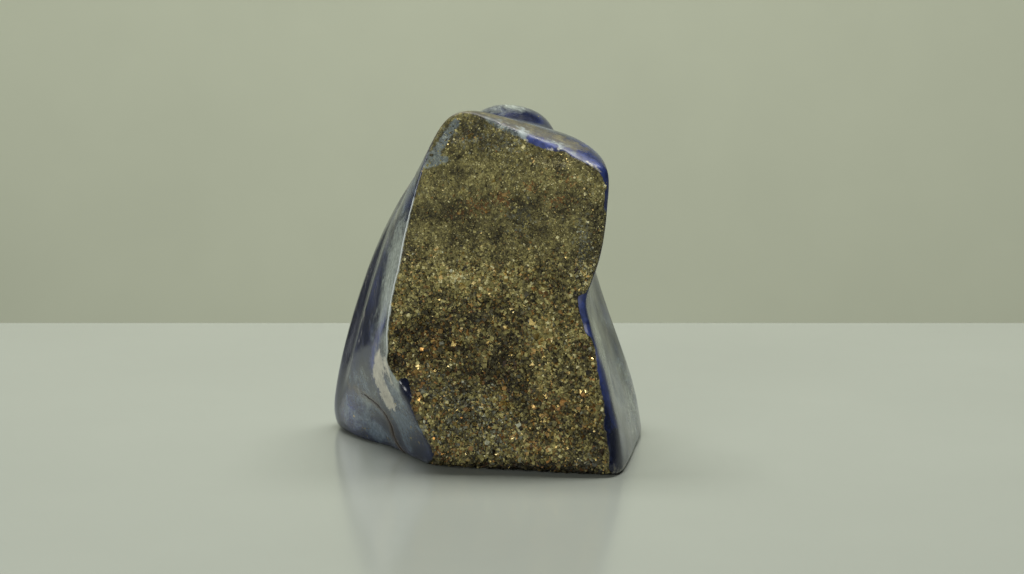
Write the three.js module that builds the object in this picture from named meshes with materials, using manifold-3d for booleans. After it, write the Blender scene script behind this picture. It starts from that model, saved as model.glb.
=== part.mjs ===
// Lapis lazuli freeform: one natural stone, ground and polished so that it stands on a flat base.
// The front is left raw, a crust of pyrite grains with hollows, ridges and pits.
// Every other side is polished. The stone is a narrow block at the front that carries the crust,
// grown together with a wider boulder behind it.
// Millimetres, +Z up, the crust faces -Y, origin in the middle of the box at the base.
// The stone is one body: no core, shell or foot is hidden inside it.

import * as THREE from 'three';
import { mergeVertices } from 'three/addons/utils/BufferGeometryUtils.js';
import Module from 'manifold-3d';

// Ground facets of the front block: a point on each facet and the way it faces
const BLOCK_FACETS = {
  leftUpper: facet([-15.1, -23, 43], [-0.94, -0.2, 0.255]),
  leftLower: facet([-18.8, -26, 19], [-0.95, -0.3, 0.065]),
  lowerLeft: facet([-19, -15.1, 8], [-0.86, -0.38, -0.34]),
  lowerStrip: facet([-14.7, -27.8, 10.8], [-0.86, -0.45, -0.36]),
  footLeft: facet([-16.5, -26.5, 1.6], [-0.5, -0.5, -0.7]),
  corner: facet([-6.6, -22, 65.2], [-0.35, 0.1, 0.93]),
  topLeft: facet([-9.6, -22, 61.5], [-0.84, 0.1, 0.53]),
  top: facet([3, -22, 64.7], [0.245, 0.1, 0.963]),
  topRight: facet([19.6, -25, 59.9], [0.66, 0.14, 0.74]),
  rim: facet([9.6, -23.7, 60.3], [0.3, -0.43, 0.85]),
  leftBack: facet([-20.7, -2, 38], [-0.885, 0.35, 0.297]),
  back: facet([0, 8, 30], [0.1, 1, 0.15]),
};

// The right flank of the block is pinched to a waist: it leans in above it and flares out below it
const RIGHT_ABOVE_WAIST = {
  right: facet([22.6, -24, 50], [0.99, 0.13, 0.03]),
  rightLower: facet([21.6, -25, 43], [0.98, 0.1, -0.17]),
  underside: facet([18.2, -28, 33], [0.9, -0.05, -0.43]),
};
const RIGHT_BELOW_WAIST = {
  flare: facet([18.2, -28, 29], [0.95, -0.09, 0.28]),
  skirt: facet([24.5, -31, 4], [0.97, -0.17, 0.12]),
  edge: facet([21.3, -31.7, 12.6], [0.8, -0.57, 0.215]),
};

// Ground facets of the boulder behind the block
const BOULDER_FACETS = {
  leftUpper: facet([-23.2, 8, 38], [-0.9, 0.03, 0.45]),
  left: facet([-31.9, 9, 17.9], [-0.952, 0.03, 0.3]),
  leftFoot: facet([-33.6, 9, 8], [-0.985, -0.06, -0.12]),
  leftFront: facet([-23.9, 3, 30], [-0.84, -0.5, 0.12]),
  rightFoot: facet([30.5, 6, 7], [0.98, 0.05, 0.19]),
  rightBase: facet([30.4, 5, 4], [0.96, -0.02, -0.28]),
  rightFront: facet([24.5, 0.5, 19.4], [0.84, -0.5, 0.22]),
  front: facet([0, -2, 30], [0, -1, 0.1]),
  top: facet([-0.5, 17, 68.3], [0.04, 0.03, 1]),
  topLeft: facet([-13.4, 16, 52.9], [-0.72, 0, 0.694]),
  topRight: facet([10.6, 16, 65.4], [0.36, 0.02, 0.933]),
  topFront: facet([2, 7, 65.2], [0, -0.6, 0.8]),
  back: facet([2, 27.5, 25], [0.06, 0.95, 0.3]),
  backLeft: facet([-23.4, 19.5, 20], [-0.68, 0.7, 0.25]),
  backRight: facet([24, 17.5, 18], [0.72, 0.66, 0.26]),
  backTop: facet([1, 22.5, 60.5], [0, 0.66, 0.75]),
};
const BOULDER_RIGHT = {
  upper: facet([17.7, 6, 42], [0.98, 0.03, 0.19]),
  flare: facet([21.9, 5, 25.5], [0.87, 0.03, 0.48]),
};

// The stone is cut off here; the ground sides are eased in towards it, so its lower edge is soft
const BASE_HEIGHT = 0;
const BASE_EASE = facet([0, 0, BASE_HEIGHT - 0.7], [0, 0, -1]);

// The raw crust: its mean plane, the strip where it turns to the right, and its undercut foot
const CRUST_PLANE = facet([0, -31, 0], [-0.12, -1, 0.14]);
const CRUST_STRIP = facet([20.6, -26.6, 45], [0.8, -0.6, 0.02]);
const CRUST_STRIP_END = facet([0, 0, 31], [0, 0, 1]);
const CRUST_FOOT = facet([5, -31.4, 1.6], [-0.105, -0.38, -0.92]);

// Swells and hollows of the crust: middle (x, z), half width, half height, how far proud of the plane
const CRUST_SWELLS = {
  brow: swell(3, 56, 15, 6, 0.8),
  upperHollow: swell(3, 47.5, 13, 4, -1.2),
  crest: swell(-1, 36.3, 17, 4, 1.5),
  mainHollow: swell(-2, 25.5, 9.5, 5.5, -2.7),
  leftGully: swell(-13.5, 25, 4.5, 3.5, -1.6),
  ridgeTop: swell(9.2, 28.5, 3, 3.5, 0.9),
  ridgeMiddle: swell(11, 22, 3, 4, 1.3),
  ridgeEnd: swell(15, 15.5, 3.5, 4, 0.9),
  rightSlope: swell(16.8, 24, 3, 5, -0.6),
  belly: swell(3, 9, 13, 6, 0.9),
  leftFoot: swell(-9.5, 12, 4.5, 5, 0.8),
  rightFoot: swell(14.5, 8, 5, 4, 0.5),
  stripGroove: swell(16.9, 40, 1, 5.5, -0.5),
};

// Pits broken out of the crust, in the same form
const CRUST_PITS = {
  leftEdge: swell(-17.3, 19.6, 2, 1.9, -2.6),
  underCrest: swell(0.6, 30.4, 1.8, 1.2, -1),
  hollowLeft: swell(-5.3, 28.2, 1.5, 1.3, -1),
  gully: swell(-11.3, 26, 1.6, 1.3, -1),
  crestMiddle: swell(6.3, 37.6, 1.3, 1.2, -0.9),
  crestRight: swell(12.7, 36, 1.4, 1.2, -1.1),
  waist: swell(13.6, 32.5, 1.3, 1.9, -1.1),
  upper: swell(5.8, 49, 1.2, 1.5, -0.8),
  upperRight: swell(13.2, 44.3, 1.4, 1.2, -0.8),
  strip: swell(18.8, 39.6, 1.2, 1.6, -0.8),
};

// Knobbly grain of the crust that is large enough to be felt: cell size and height
const KNOBS = [
  { cell: 4.6, height: 0.5 },
  { cell: 2.3, height: 0.38 },
];

// How softly the ground facets run into each other
const BLOCK_EDGE = 0.8;
const BOULDER_EDGE = 2;
const WAIST_EDGE = 0.8;
const RIGHT_EDGE = 0.5;
const FLARE_EDGE = 1.5;
const JOIN_EDGE = 1.3;
const CRUST_EDGE = 0.7;
const RIM_EDGE = 0.25;

// The faces are laid out evenly over the stone as seen from a point inside it
const HEART = [0, -4, 27];
const REACH = 75;
const FACE_ROWS = 18;
const EVENING_ROUNDS = 12;
const RIM_SNAP = 1.1;

function facet(through, facing) {
  const length = Math.hypot(...facing);
  const normal = facing.map((value) => value / length);
  const offset = normal[0] * through[0] + normal[1] * through[1] + normal[2] * through[2];
  return { normal, offset };
}

function swell(x, z, halfWidth, halfHeight, proud) {
  return { x, z, halfWidth, halfHeight, proud };
}

// Distance of a point outside a facet, negative inside
function gap({ normal, offset }, [x, y, z]) {
  return normal[0] * x + normal[1] * y + normal[2] * z - offset;
}

function gaps(facets, point) {
  return Object.values(facets).map((item) => gap(item, point));
}

function softMax(values, edge) {
  const most = Math.max(...values);
  let sum = 0;
  for (const value of values) {
    sum += Math.exp((value - most) / edge);
  }
  return most + edge * Math.log(sum);
}

function softMin(values, edge) {
  return -softMax(values.map((value) => -value), edge);
}

// The ground and polished sides: the block and the boulder grown together
function polishedGap(point) {
  const base = gap(BASE_EASE, point);
  const waist = softMin([
    softMax(gaps(RIGHT_ABOVE_WAIST, point), WAIST_EDGE),
    softMax(gaps(RIGHT_BELOW_WAIST, point), RIGHT_EDGE),
  ], WAIST_EDGE);
  const block = softMax([...gaps(BLOCK_FACETS, point), waist, base], BLOCK_EDGE);
  const flare = softMin(gaps(BOULDER_RIGHT, point), FLARE_EDGE);
  const boulder = softMax([...gaps(BOULDER_FACETS, point), flare, base], BOULDER_EDGE);
  return softMin([block, boulder], JOIN_EDGE);
}

// Repeatable value between -1 and 1 for each corner of a lattice
function cornerValue(i, j) {
  const value = Math.sin(i * 127.1 + j * 311.7) * 43758.5453;
  return 2 * (value - Math.floor(value)) - 1;
}

function knobs(x, z, cell) {
  const u = x / cell;
  const v = z / cell;
  const i = Math.floor(u);
  const j = Math.floor(v);
  const s = (u - i) ** 2 * (3 - 2 * (u - i));
  const t = (v - j) ** 2 * (3 - 2 * (v - j));
  const low = cornerValue(i, j) * (1 - s) + cornerValue(i + 1, j) * s;
  const high = cornerValue(i, j + 1) * (1 - s) + cornerValue(i + 1, j + 1) * s;
  return low * (1 - t) + high * t;
}

// How far the crust stands proud of its plane; the strip is read along x too
function crustRelief([x, , z]) {
  let proud = 0;
  for (const item of [...Object.values(CRUST_SWELLS), ...Object.values(CRUST_PITS)]) {
    const across = (x - item.x) / item.halfWidth;
    const up = (z - item.z) / item.halfHeight;
    proud += item.proud * Math.exp(-across * across - up * up);
  }
  for (const { cell, height } of KNOBS) {
    proud += height * knobs(x, z, cell);
  }
  return proud;
}

// The raw crust
function crustGap(point) {
  const relief = crustRelief(point);
  const strip = softMin([gap(CRUST_STRIP, point) - 0.5 * relief, gap(CRUST_STRIP_END, point)], RIM_EDGE);
  return softMax([gap(CRUST_PLANE, point) - relief, strip, gap(CRUST_FOOT, point)], CRUST_EDGE);
}

function stoneGap(point) {
  return softMax([polishedGap(point), crustGap(point)], RIM_EDGE);
}

// The point where the stone ends, from its heart in the direction of a point
function onStone([x, y, z]) {
  const towards = [x - HEART[0], y - HEART[1], z - HEART[2]];
  const length = Math.hypot(...towards);
  let inside = 3;
  let outside = REACH;
  let found = towards;
  for (let step = 0; step < 26; step += 1) {
    const middle = (inside + outside) / 2;
    found = towards.map((value, axis) => HEART[axis] + (value / length) * middle);
    if (stoneGap(found) > 0) {
      outside = middle;
    } else {
      inside = middle;
    }
  }
  return found;
}

// Positive on the polished sides, negative on the crust, nought along the rim between them
function rimGap(point) {
  return polishedGap(point) - crustGap(point);
}

// A point near the rim is moved onto it
function onRim(start) {
  let point = start;
  for (let round = 0; round < 3; round += 1) {
    const here = rimGap(point);
    const slope = [0, 1, 2].map((axis) => {
      const beside = [...point];
      beside[axis] += 0.05;
      return (rimGap(beside) - here) / 0.05;
    });
    const steep = slope[0] ** 2 + slope[1] ** 2 + slope[2] ** 2;
    const step = here / Math.max(steep, 0.4);
    point = onStone(point.map((value, axis) => value - slope[axis] * step));
  }
  return point;
}

// A ball of even triangles, spread over the stone and then evened out along it
function layOutFaces() {
  const ball = new THREE.IcosahedronGeometry(1, FACE_ROWS - 1);
  ball.deleteAttribute('normal');
  ball.deleteAttribute('uv');
  const merged = mergeVertices(ball, 1e-5);
  const place = merged.getAttribute('position');
  const triangles = [];
  for (let i = 0; i < merged.index.count; i += 3) {
    triangles.push([merged.index.getX(i), merged.index.getX(i + 1), merged.index.getX(i + 2)]);
  }
  const neighbours = Array.from({ length: place.count }, () => new Set());
  for (const [a, b, c] of triangles) {
    neighbours[a].add(b).add(c);
    neighbours[b].add(a).add(c);
    neighbours[c].add(a).add(b);
  }
  let points = neighbours.map((_, i) => onStone([
    HEART[0] + place.getX(i),
    HEART[1] + place.getY(i),
    HEART[2] + place.getZ(i),
  ]));
  for (let round = 0; round < EVENING_ROUNDS; round += 1) {
    const before = points;
    points = before.map((point, i) => {
      const around = [...neighbours[i]];
      const mean = [0, 1, 2].map(
        (axis) => around.reduce((sum, k) => sum + before[k][axis], 0) / around.length,
      );
      const moved = onStone(mean);
      return round > 6 && Math.abs(rimGap(moved)) < RIM_SNAP ? onRim(moved) : moved;
    });
  }
  return { points, triangles };
}

// Triangles of the crust are split in four, and those beside them to match
function refineCrust({ points, triangles }) {
  const middles = new Map();
  const key = (a, b) => (a < b ? `${a}_${b}` : `${b}_${a}`);
  const isRim = points.map((point) => Math.abs(rimGap(point)) < 0.05);
  const splitEdge = (a, b) => {
    const name = key(a, b);
    if (!middles.has(name)) {
      const middle = onStone(points[a].map((value, axis) => (value + points[b][axis]) / 2));
      points.push(isRim[a] && isRim[b] && Math.abs(rimGap(middle)) < RIM_SNAP ? onRim(middle) : middle);
      middles.set(name, points.length - 1);
    }
  };
  for (const [a, b, c] of triangles) {
    const centre = [0, 1, 2].map((axis) => (points[a][axis] + points[b][axis] + points[c][axis]) / 3);
    if (rimGap(centre) < 0) {
      splitEdge(a, b);
      splitEdge(b, c);
      splitEdge(c, a);
    }
  }
  const finer = [];
  for (const corners of triangles) {
    const cuts = corners.map((corner, i) => middles.get(key(corner, corners[(i + 1) % 3])));
    const count = cuts.filter((cut) => cut !== undefined).length;
    if (count === 0) {
      finer.push(corners);
    } else if (count === 3) {
      finer.push([corners[0], cuts[0], cuts[2]], [corners[1], cuts[1], cuts[0]]);
      finer.push([corners[2], cuts[2], cuts[1]], cuts);
    } else if (count === 1) {
      const i = cuts.findIndex((cut) => cut !== undefined);
      const [a, b, c] = [corners[i], corners[(i + 1) % 3], corners[(i + 2) % 3]];
      finer.push([a, cuts[i], c], [cuts[i], b, c]);
    } else {
      const i = cuts.findIndex((cut) => cut === undefined);
      const [a, b, c] = [corners[i], corners[(i + 1) % 3], corners[(i + 2) % 3]];
      const right = cuts[(i + 1) % 3];
      const left = cuts[(i + 2) % 3];
      finer.push([a, b, right], [a, right, left], [left, right, c]);
    }
  }
  return { points, triangles: finer };
}

function toGeometry({ points, triangles }) {
  const geometry = new THREE.BufferGeometry();
  geometry.setAttribute('position', new THREE.Float32BufferAttribute(points.flat(), 3));
  geometry.setIndex(triangles.flat());
  return geometry;
}

const wasm = await Module();
wasm.setup();

function toManifold(geometry) {
  const bare = geometry.clone();
  bare.deleteAttribute('normal');
  bare.deleteAttribute('uv');
  const merged = mergeVertices(bare, 1e-4);
  return new wasm.Manifold(new wasm.Mesh({
    numProp: 3,
    vertProperties: new Float32Array(merged.getAttribute('position').array),
    triVerts: new Uint32Array(merged.index.array),
  }));
}

function fromManifold(solid) {
  const mesh = solid.getMesh();
  const geometry = new THREE.BufferGeometry();
  geometry.setAttribute('position', new THREE.Float32BufferAttribute(mesh.vertProperties, 3));
  geometry.setIndex(Array.from(mesh.triVerts));
  return geometry;
}

// The whole stone, with everything below the base sawn off flat
function buildStone() {
  const rough = toGeometry(refineCrust(layOutFaces()));
  const sawn = new THREE.BoxGeometry(200, 200, 40);
  sawn.translate(0, 0, BASE_HEIGHT - 20);
  const stone = fromManifold(toManifold(rough).subtract(toManifold(sawn)));
  stone.computeBoundingBox();
  const middle = stone.boundingBox.getCenter(new THREE.Vector3());
  stone.translate(-middle.x, -middle.y, -BASE_HEIGHT);
  stone.computeVertexNormals();
  return stone;
}

const lapis = new THREE.MeshStandardMaterial({ color: 0x2c4585, roughness: 0.2, metalness: 0 });
const stone = new THREE.Mesh(buildStone(), lapis);
stone.name = 'lapis_stone';

const freeform = new THREE.Group();
freeform.name = 'lapis_lazuli_freeform';
freeform.add(stone);

export default freeform;
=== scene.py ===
"""The looks of a lapis lazuli freeform: one ground and polished stone with a raw pyrite crust.

The skin is laid over the same ground facets as the solid and carries the crust's finer relief.
Pyrite grains sit in the crust as small crystals of their own. The form is told in millimetres,
as it stands behind its crust plane, and is then moved onto the solid. The scene is in metres in
the solid's frame: +Z up, the crust faces -Y, the origin in the middle of the base.
"""

from __future__ import annotations

import logging
import math
from abc import ABC, abstractmethod
from dataclasses import dataclass, field
from enum import Enum
from typing import ClassVar, Union

import bpy
import numpy as np
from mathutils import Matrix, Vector

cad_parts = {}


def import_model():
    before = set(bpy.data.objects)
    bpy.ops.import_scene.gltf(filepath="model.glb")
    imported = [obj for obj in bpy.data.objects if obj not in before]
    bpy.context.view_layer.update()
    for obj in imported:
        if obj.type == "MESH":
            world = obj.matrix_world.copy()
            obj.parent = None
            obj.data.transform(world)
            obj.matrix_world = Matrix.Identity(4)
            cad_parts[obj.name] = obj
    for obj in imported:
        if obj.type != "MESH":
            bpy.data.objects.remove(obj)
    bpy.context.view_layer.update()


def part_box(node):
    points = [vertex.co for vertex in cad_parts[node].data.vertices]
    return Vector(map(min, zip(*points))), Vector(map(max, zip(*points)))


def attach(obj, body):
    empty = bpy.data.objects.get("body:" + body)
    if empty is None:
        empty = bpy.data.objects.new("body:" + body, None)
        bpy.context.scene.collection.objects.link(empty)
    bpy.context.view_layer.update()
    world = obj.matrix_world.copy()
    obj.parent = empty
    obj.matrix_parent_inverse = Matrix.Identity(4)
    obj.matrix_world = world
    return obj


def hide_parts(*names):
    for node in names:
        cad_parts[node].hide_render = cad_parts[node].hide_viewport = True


LOG = logging.getLogger("lapis_freeform")
MM = 0.001
NODE = "lapis_stone"
TAPER = 0.45  # width of a wedge's top, of its foot's
MIX = (127.1, 311.7, 74.7)  # tells the cells of a lattice apart

Triple = tuple[float, float, float]
Socket = bpy.types.NodeSocket
Feed = Union[Socket, float, Triple]


# The form: ground facets, swells and spots


@dataclass(frozen=True)
class Facet:
    """A ground facet of the stone, in millimetres.

    Args:
        through: A point on the facet.
        facing: The way it faces, of any length.
    """

    through: Triple
    facing: Triple

    def plane(self) -> tuple[np.ndarray, float]:
        """Gives the facet as a plane.

        Returns:
            Its unit normal and its distance from the origin.
        """
        normal = np.array(self.facing) / np.linalg.norm(self.facing)
        return normal, float(normal @ np.array(self.through))


@dataclass(frozen=True)
class Swell:
    """A soft swell, hollow or pit of the crust.

    Args:
        x: Its middle across the crust.
        z: Its middle up the crust.
        half_width: Half its width.
        half_height: Half its height.
        proud: How far it stands out of the crust; negative for a hollow.
    """

    x: float
    z: float
    half_width: float
    half_height: float
    proud: float

    def at(self, x: np.ndarray, z: np.ndarray) -> np.ndarray:
        """Gives the swell's height at points of the crust.

        Args:
            x: Places across the crust.
            z: Places up the crust.

        Returns:
            The height at each place.
        """
        across = (x - self.x) / self.half_width
        up = (z - self.z) / self.half_height
        return self.proud * np.exp(-across * across - up * up)


@dataclass(frozen=True)
class Patch:
    """A soft-edged region of the stone that is coloured in its own way.

    Args:
        middle: Its middle.
        reach: Its half size along each axis.
        weight: How strongly it shows in its middle.
    """

    middle: Triple
    reach: Triple
    weight: float = 1.0

    def at(self, points: np.ndarray) -> np.ndarray:
        """Gives the patch's strength at points.

        Args:
            points: Points in millimetres.

        Returns:
            The strength at each point, from 0 to the patch's weight.
        """
        away = (points - np.array(self.middle)) / np.array(self.reach)
        return self.weight * np.exp(-(away * away).sum(-1))


@dataclass(frozen=True)
class Streak:
    """A soft-edged region that follows a line over the stone, deeper from front to back than wide.

    Args:
        path: The corners of the line, in millimetres.
        reach: Its half width.
        weight: How strongly it shows in its middle.
    """

    path: tuple[Triple, ...]
    reach: float
    weight: float = 1.0

    def distance(self, points: np.ndarray) -> np.ndarray:
        """Measures how far points are from the line.

        Args:
            points: Points in millimetres.

        Returns:
            The distance of each point.
        """
        nearest = np.full(len(points), 99.0)
        for start, end in zip(self.path, self.path[1:]):
            a, b = np.array(start), np.array(end)
            along = np.clip((points - a) @ (b - a) / ((b - a) @ (b - a)), 0.0, 1.0)
            away = (points - a - along[:, None] * (b - a)) * (1.0, 0.5, 1.0)
            nearest = np.minimum(nearest, np.linalg.norm(away, axis=1))
        return nearest

    def at(self, points: np.ndarray) -> np.ndarray:
        """Gives the streak's strength at points.

        Args:
            points: Points in millimetres.

        Returns:
            The strength at each point, from 0 to the streak's weight.
        """
        return self.weight * np.exp(-(self.distance(points) / self.reach) ** 2)


Region = Union[Patch, Streak]


def crust_patch(x: float, y: float, z: float, half_width: float, half_height: float, weight: float) -> Patch:
    """Makes a region of the crust, deep enough to take in all of its relief.

    Args:
        x: Its middle across the crust.
        y: Its middle from front to back.
        z: Its middle up the crust.
        half_width: Half its width.
        half_height: Half its height.
        weight: How strongly it shows in its middle.

    Returns:
        The region.
    """
    return Patch((x, y, z), (half_width, 9.0, half_height), weight)


def strength(regions: tuple[Region, ...], points: np.ndarray) -> np.ndarray:
    """Adds up regions at points.

    Args:
        regions: Patches and streaks.
        points: Points in millimetres.

    Returns:
        Their strength at each point.
    """
    total = np.zeros(len(points))
    for region in regions:
        total += region.at(points)
    return total


def gaps(facets: tuple[Facet, ...], points: np.ndarray) -> list[np.ndarray]:
    """Measures points against facets.

    Args:
        facets: The facets.
        points: Points in millimetres.

    Returns:
        For each facet, how far each point lies outside it.
    """
    planes = [item.plane() for item in facets]
    return [points @ normal - offset for normal, offset in planes]


def soft_max(values: list[np.ndarray], edge: float) -> np.ndarray:
    """Joins surfaces where both hold, with an eased edge.

    Args:
        values: Gaps of each surface at the same points.
        edge: How softly they run into each other.

    Returns:
        The joined gap at each point.
    """
    stack = np.stack(values)
    most = stack.max(0)
    return most + edge * np.log(np.exp((stack - most) / edge).sum(0))


def soft_min(values: list[np.ndarray], edge: float) -> np.ndarray:
    """Joins surfaces where either holds, with an eased edge.

    Args:
        values: Gaps of each surface at the same points.
        edge: How softly they run into each other.

    Returns:
        The joined gap at each point.
    """
    return -soft_max([-value for value in values], edge)


def smooth_step(value: np.ndarray, low: float, high: float) -> np.ndarray:
    """Eases values from 0 at low to 1 at high.

    Args:
        value: The values.
        low: Where the step starts.
        high: Where the step ends.

    Returns:
        The eased values.
    """
    t = np.clip((value - low) / (high - low), 0.0, 1.0)
    return t * t * (3.0 - 2.0 * t)


def towards_foot(points: np.ndarray, top: float, foot: float) -> np.ndarray:
    """Tells how far down the stone points are.

    Args:
        points: Points in millimetres.
        top: The height down to which it is 0.
        foot: The height below which it is 1.

    Returns:
        The eased share at each point.
    """
    return smooth_step(-points[:, 2], -top, -foot)


@dataclass(frozen=True)
class StoneForm:
    """The stone's whole form: a block that carries the crust, grown together with a boulder.

    Args:
        block: Facets of the block, but for its right side.
        above_waist: Its right side above the waist.
        below_waist: Its right side below the waist.
        boulder: Facets of the boulder, but for its upper right side.
        boulder_right: Its upper right side, which flares out.
        base_ease: The facet that rounds the sides in towards the base.
        base: The flat base.
        crust_plane: The plane that the crust follows.
        crust_strip: Where the crust turns back along its upper right edge.
        crust_strip_end: Below which it no longer does.
        crust_foot: Where the crust turns back above the base.
        swells: The crust's larger swells and hollows.
        pits: Its small pits.
        knobs: Cell and height of its knobbly relief.
        block_ease: How softly the block's facets meet; the others are for what they name.
        skirt_ease: For the right side below the waist.
        flare_ease: For the boulder's upper right side.
        boulder_ease: For the boulder's facets.
        join_ease: For the block and the boulder.
        strip_ease: For the strip and its end.
        crust_ease: For the faces of the crust.
        rim_ease: For the crust and the polished sides.
        foot_ease: For the sides and the base.
        strip_share: How much of the crust's relief the strip has.
        heart: The point that the whole stone can be seen from.
        least: A distance from the heart that is inside on every side.
        reach: A distance that is outside on every side.
        probe: How far apart the normals' probes are, halved.
    """

    block: tuple[Facet, ...] = (
        Facet((-15.1, -23, 43), (-0.94, -0.2, 0.255)),
        Facet((-18.8, -26, 19), (-0.95, -0.3, 0.065)),
        Facet((-19, -15.1, 8), (-0.86, -0.38, -0.34)),
        Facet((-14.7, -27.8, 10.8), (-0.86, -0.45, -0.36)),
        Facet((-16.5, -26.5, 1.6), (-0.5, -0.5, -0.7)),
        Facet((-6.6, -22, 65.2), (-0.35, 0.1, 0.93)),
        Facet((-9.6, -22, 61.5), (-0.84, 0.1, 0.53)),
        Facet((3, -22, 64.7), (0.245, 0.1, 0.963)),
        Facet((19.6, -25, 59.9), (0.66, 0.14, 0.74)),
        Facet((9.6, -23.7, 60.3), (0.3, -0.43, 0.85)),
        Facet((-20.7, -2, 38), (-0.885, 0.35, 0.297)),
        Facet((0, 8, 30), (0.1, 1, 0.15)),
    )
    above_waist: tuple[Facet, ...] = (
        Facet((22.6, -24, 50), (0.99, 0.13, 0.03)),
        Facet((21.6, -25, 43), (0.98, 0.1, -0.17)),
        Facet((18.2, -28, 33), (0.9, -0.05, -0.43)),
    )
    below_waist: tuple[Facet, ...] = (
        Facet((18.2, -28, 29), (0.95, -0.09, 0.28)),
        Facet((24.5, -31, 4), (0.97, -0.17, 0.12)),
        Facet((21.3, -31.7, 12.6), (0.8, -0.57, 0.215)),
    )
    boulder: tuple[Facet, ...] = (
        Facet((-23.2, 8, 38), (-0.9, 0.03, 0.45)),
        Facet((-31.9, 9, 17.9), (-0.952, 0.03, 0.3)),
        Facet((-33.6, 9, 8), (-0.985, -0.06, -0.12)),
        Facet((-23.9, 3, 30), (-0.84, -0.5, 0.12)),
        Facet((30.5, 6, 7), (0.98, 0.05, 0.19)),
        Facet((30.4, 5, 4), (0.96, -0.02, -0.28)),
        Facet((24.5, 0.5, 19.4), (0.84, -0.5, 0.22)),
        Facet((0, -2, 30), (0, -1, 0.1)),
        Facet((-0.5, 17, 68.3), (0.04, 0.03, 1)),
        Facet((-13.4, 16, 52.9), (-0.72, 0, 0.694)),
        Facet((10.6, 16, 65.4), (0.36, 0.02, 0.933)),
        Facet((2, 7, 65.2), (0, -0.6, 0.8)),
        Facet((2, 27.5, 25), (0.06, 0.95, 0.3)),
        Facet((-23.4, 19.5, 20), (-0.68, 0.7, 0.25)),
        Facet((24, 17.5, 18), (0.72, 0.66, 0.26)),
        Facet((1, 22.5, 60.5), (0, 0.66, 0.75)),
    )
    boulder_right: tuple[Facet, ...] = (
        Facet((17.7, 6, 42), (0.98, 0.03, 0.19)),
        Facet((21.9, 5, 25.5), (0.87, 0.03, 0.48)),
    )
    base_ease: Facet = Facet((0, 0, -0.7), (0, 0, -1))
    base: Facet = Facet((0, 0, 0), (0, 0, -1))
    crust_plane: Facet = Facet((0, -31, 0), (-0.12, -1, 0.14))
    crust_strip: Facet = Facet((20.6, -26.6, 45), (0.8, -0.6, 0.02))
    crust_strip_end: Facet = Facet((0, 0, 31), (0, 0, 1))
    crust_foot: Facet = Facet((5, -31.4, 1.6), (-0.105, -0.38, -0.92))
    swells: tuple[Swell, ...] = (
        Swell(3, 56, 15, 6, 0.8),
        Swell(3, 47.5, 13, 4, -1.2),
        Swell(-1, 36.3, 17, 4, 1.5),
        Swell(-2, 25.5, 9.5, 5.5, -2.7),
        Swell(-13.5, 25, 4.5, 3.5, -1.6),
        Swell(9.2, 28.5, 3, 3.5, 0.9),
        Swell(11, 22, 3, 4, 1.3),
        Swell(15, 15.5, 3.5, 4, 0.9),
        Swell(16.8, 24, 3, 5, -0.6),
        Swell(3, 9, 13, 6, 0.9),
        Swell(-9.5, 12, 4.5, 5, 0.8),
        Swell(14.5, 8, 5, 4, 0.5),
        Swell(16.9, 40, 1, 5.5, -0.5),
    )
    pits: tuple[Swell, ...] = (
        Swell(-17.3, 19.6, 2, 1.9, -2.6),
        Swell(0.6, 30.4, 1.8, 1.2, -1),
        Swell(-5.3, 28.2, 1.5, 1.3, -1),
        Swell(-11.3, 26, 1.6, 1.3, -1),
        Swell(6.3, 37.6, 1.3, 1.2, -0.9),
        Swell(12.7, 36, 1.4, 1.2, -1.1),
        Swell(13.6, 32.5, 1.3, 1.9, -1.1),
        Swell(5.8, 49, 1.2, 1.5, -0.8),
        Swell(13.2, 44.3, 1.4, 1.2, -0.8),
        Swell(18.8, 39.6, 1.2, 1.6, -0.8),
    )
    knobs: tuple[tuple[float, float], ...] = ((4.6, 0.5), (2.3, 0.38))
    block_ease: float = 0.8
    skirt_ease: float = 0.5
    flare_ease: float = 1.5
    boulder_ease: float = 2.0
    join_ease: float = 1.3
    strip_ease: float = 0.25
    crust_ease: float = 0.7
    rim_ease: float = 0.25
    foot_ease: float = 0.3
    strip_share: float = 0.5
    heart: Triple = (0.0, -4.0, 27.0)
    least: float = 3.0
    reach: float = 75.0
    probe: float = 0.03

    def polished_gap(self, points: np.ndarray) -> np.ndarray:
        """Measures points against the ground and polished sides.

        Args:
            points: Points in millimetres.

        Returns:
            How far each point lies outside them.
        """
        ease = gaps((self.base_ease,), points)
        above = soft_max(gaps(self.above_waist, points), self.block_ease)
        below = soft_max(gaps(self.below_waist, points), self.skirt_ease)
        waist = soft_min([above, below], self.block_ease)
        block = soft_max(gaps(self.block, points) + [waist] + ease, self.block_ease)
        flare = soft_min(gaps(self.boulder_right, points), self.flare_ease)
        boulder = soft_max(gaps(self.boulder, points) + [flare] + ease, self.boulder_ease)
        return soft_min([block, boulder], self.join_ease)

    def relief(self, x: np.ndarray, z: np.ndarray) -> np.ndarray:
        """Gives how far the crust stands proud of its plane.

        Args:
            x: Places across the crust.
            z: Places up the crust.

        Returns:
            The height at each place.
        """
        proud = sum(item.at(x, z) for item in self.swells + self.pits)
        for cell, height in self.knobs:
            proud = proud + height * lattice_noise(x / cell, z / cell)
        return proud

    def crust_gap(self, points: np.ndarray) -> np.ndarray:
        """Measures points against the raw crust.

        Args:
            points: Points in millimetres.

        Returns:
            How far each point lies outside it.
        """
        proud = self.relief(points[..., 0], points[..., 2])
        plane, strip, end, foot = gaps(
            (self.crust_plane, self.crust_strip, self.crust_strip_end, self.crust_foot), points
        )
        turned = soft_min([strip - self.strip_share * proud, end], self.strip_ease)
        return soft_max([plane - proud, turned, foot], self.crust_ease)

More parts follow.
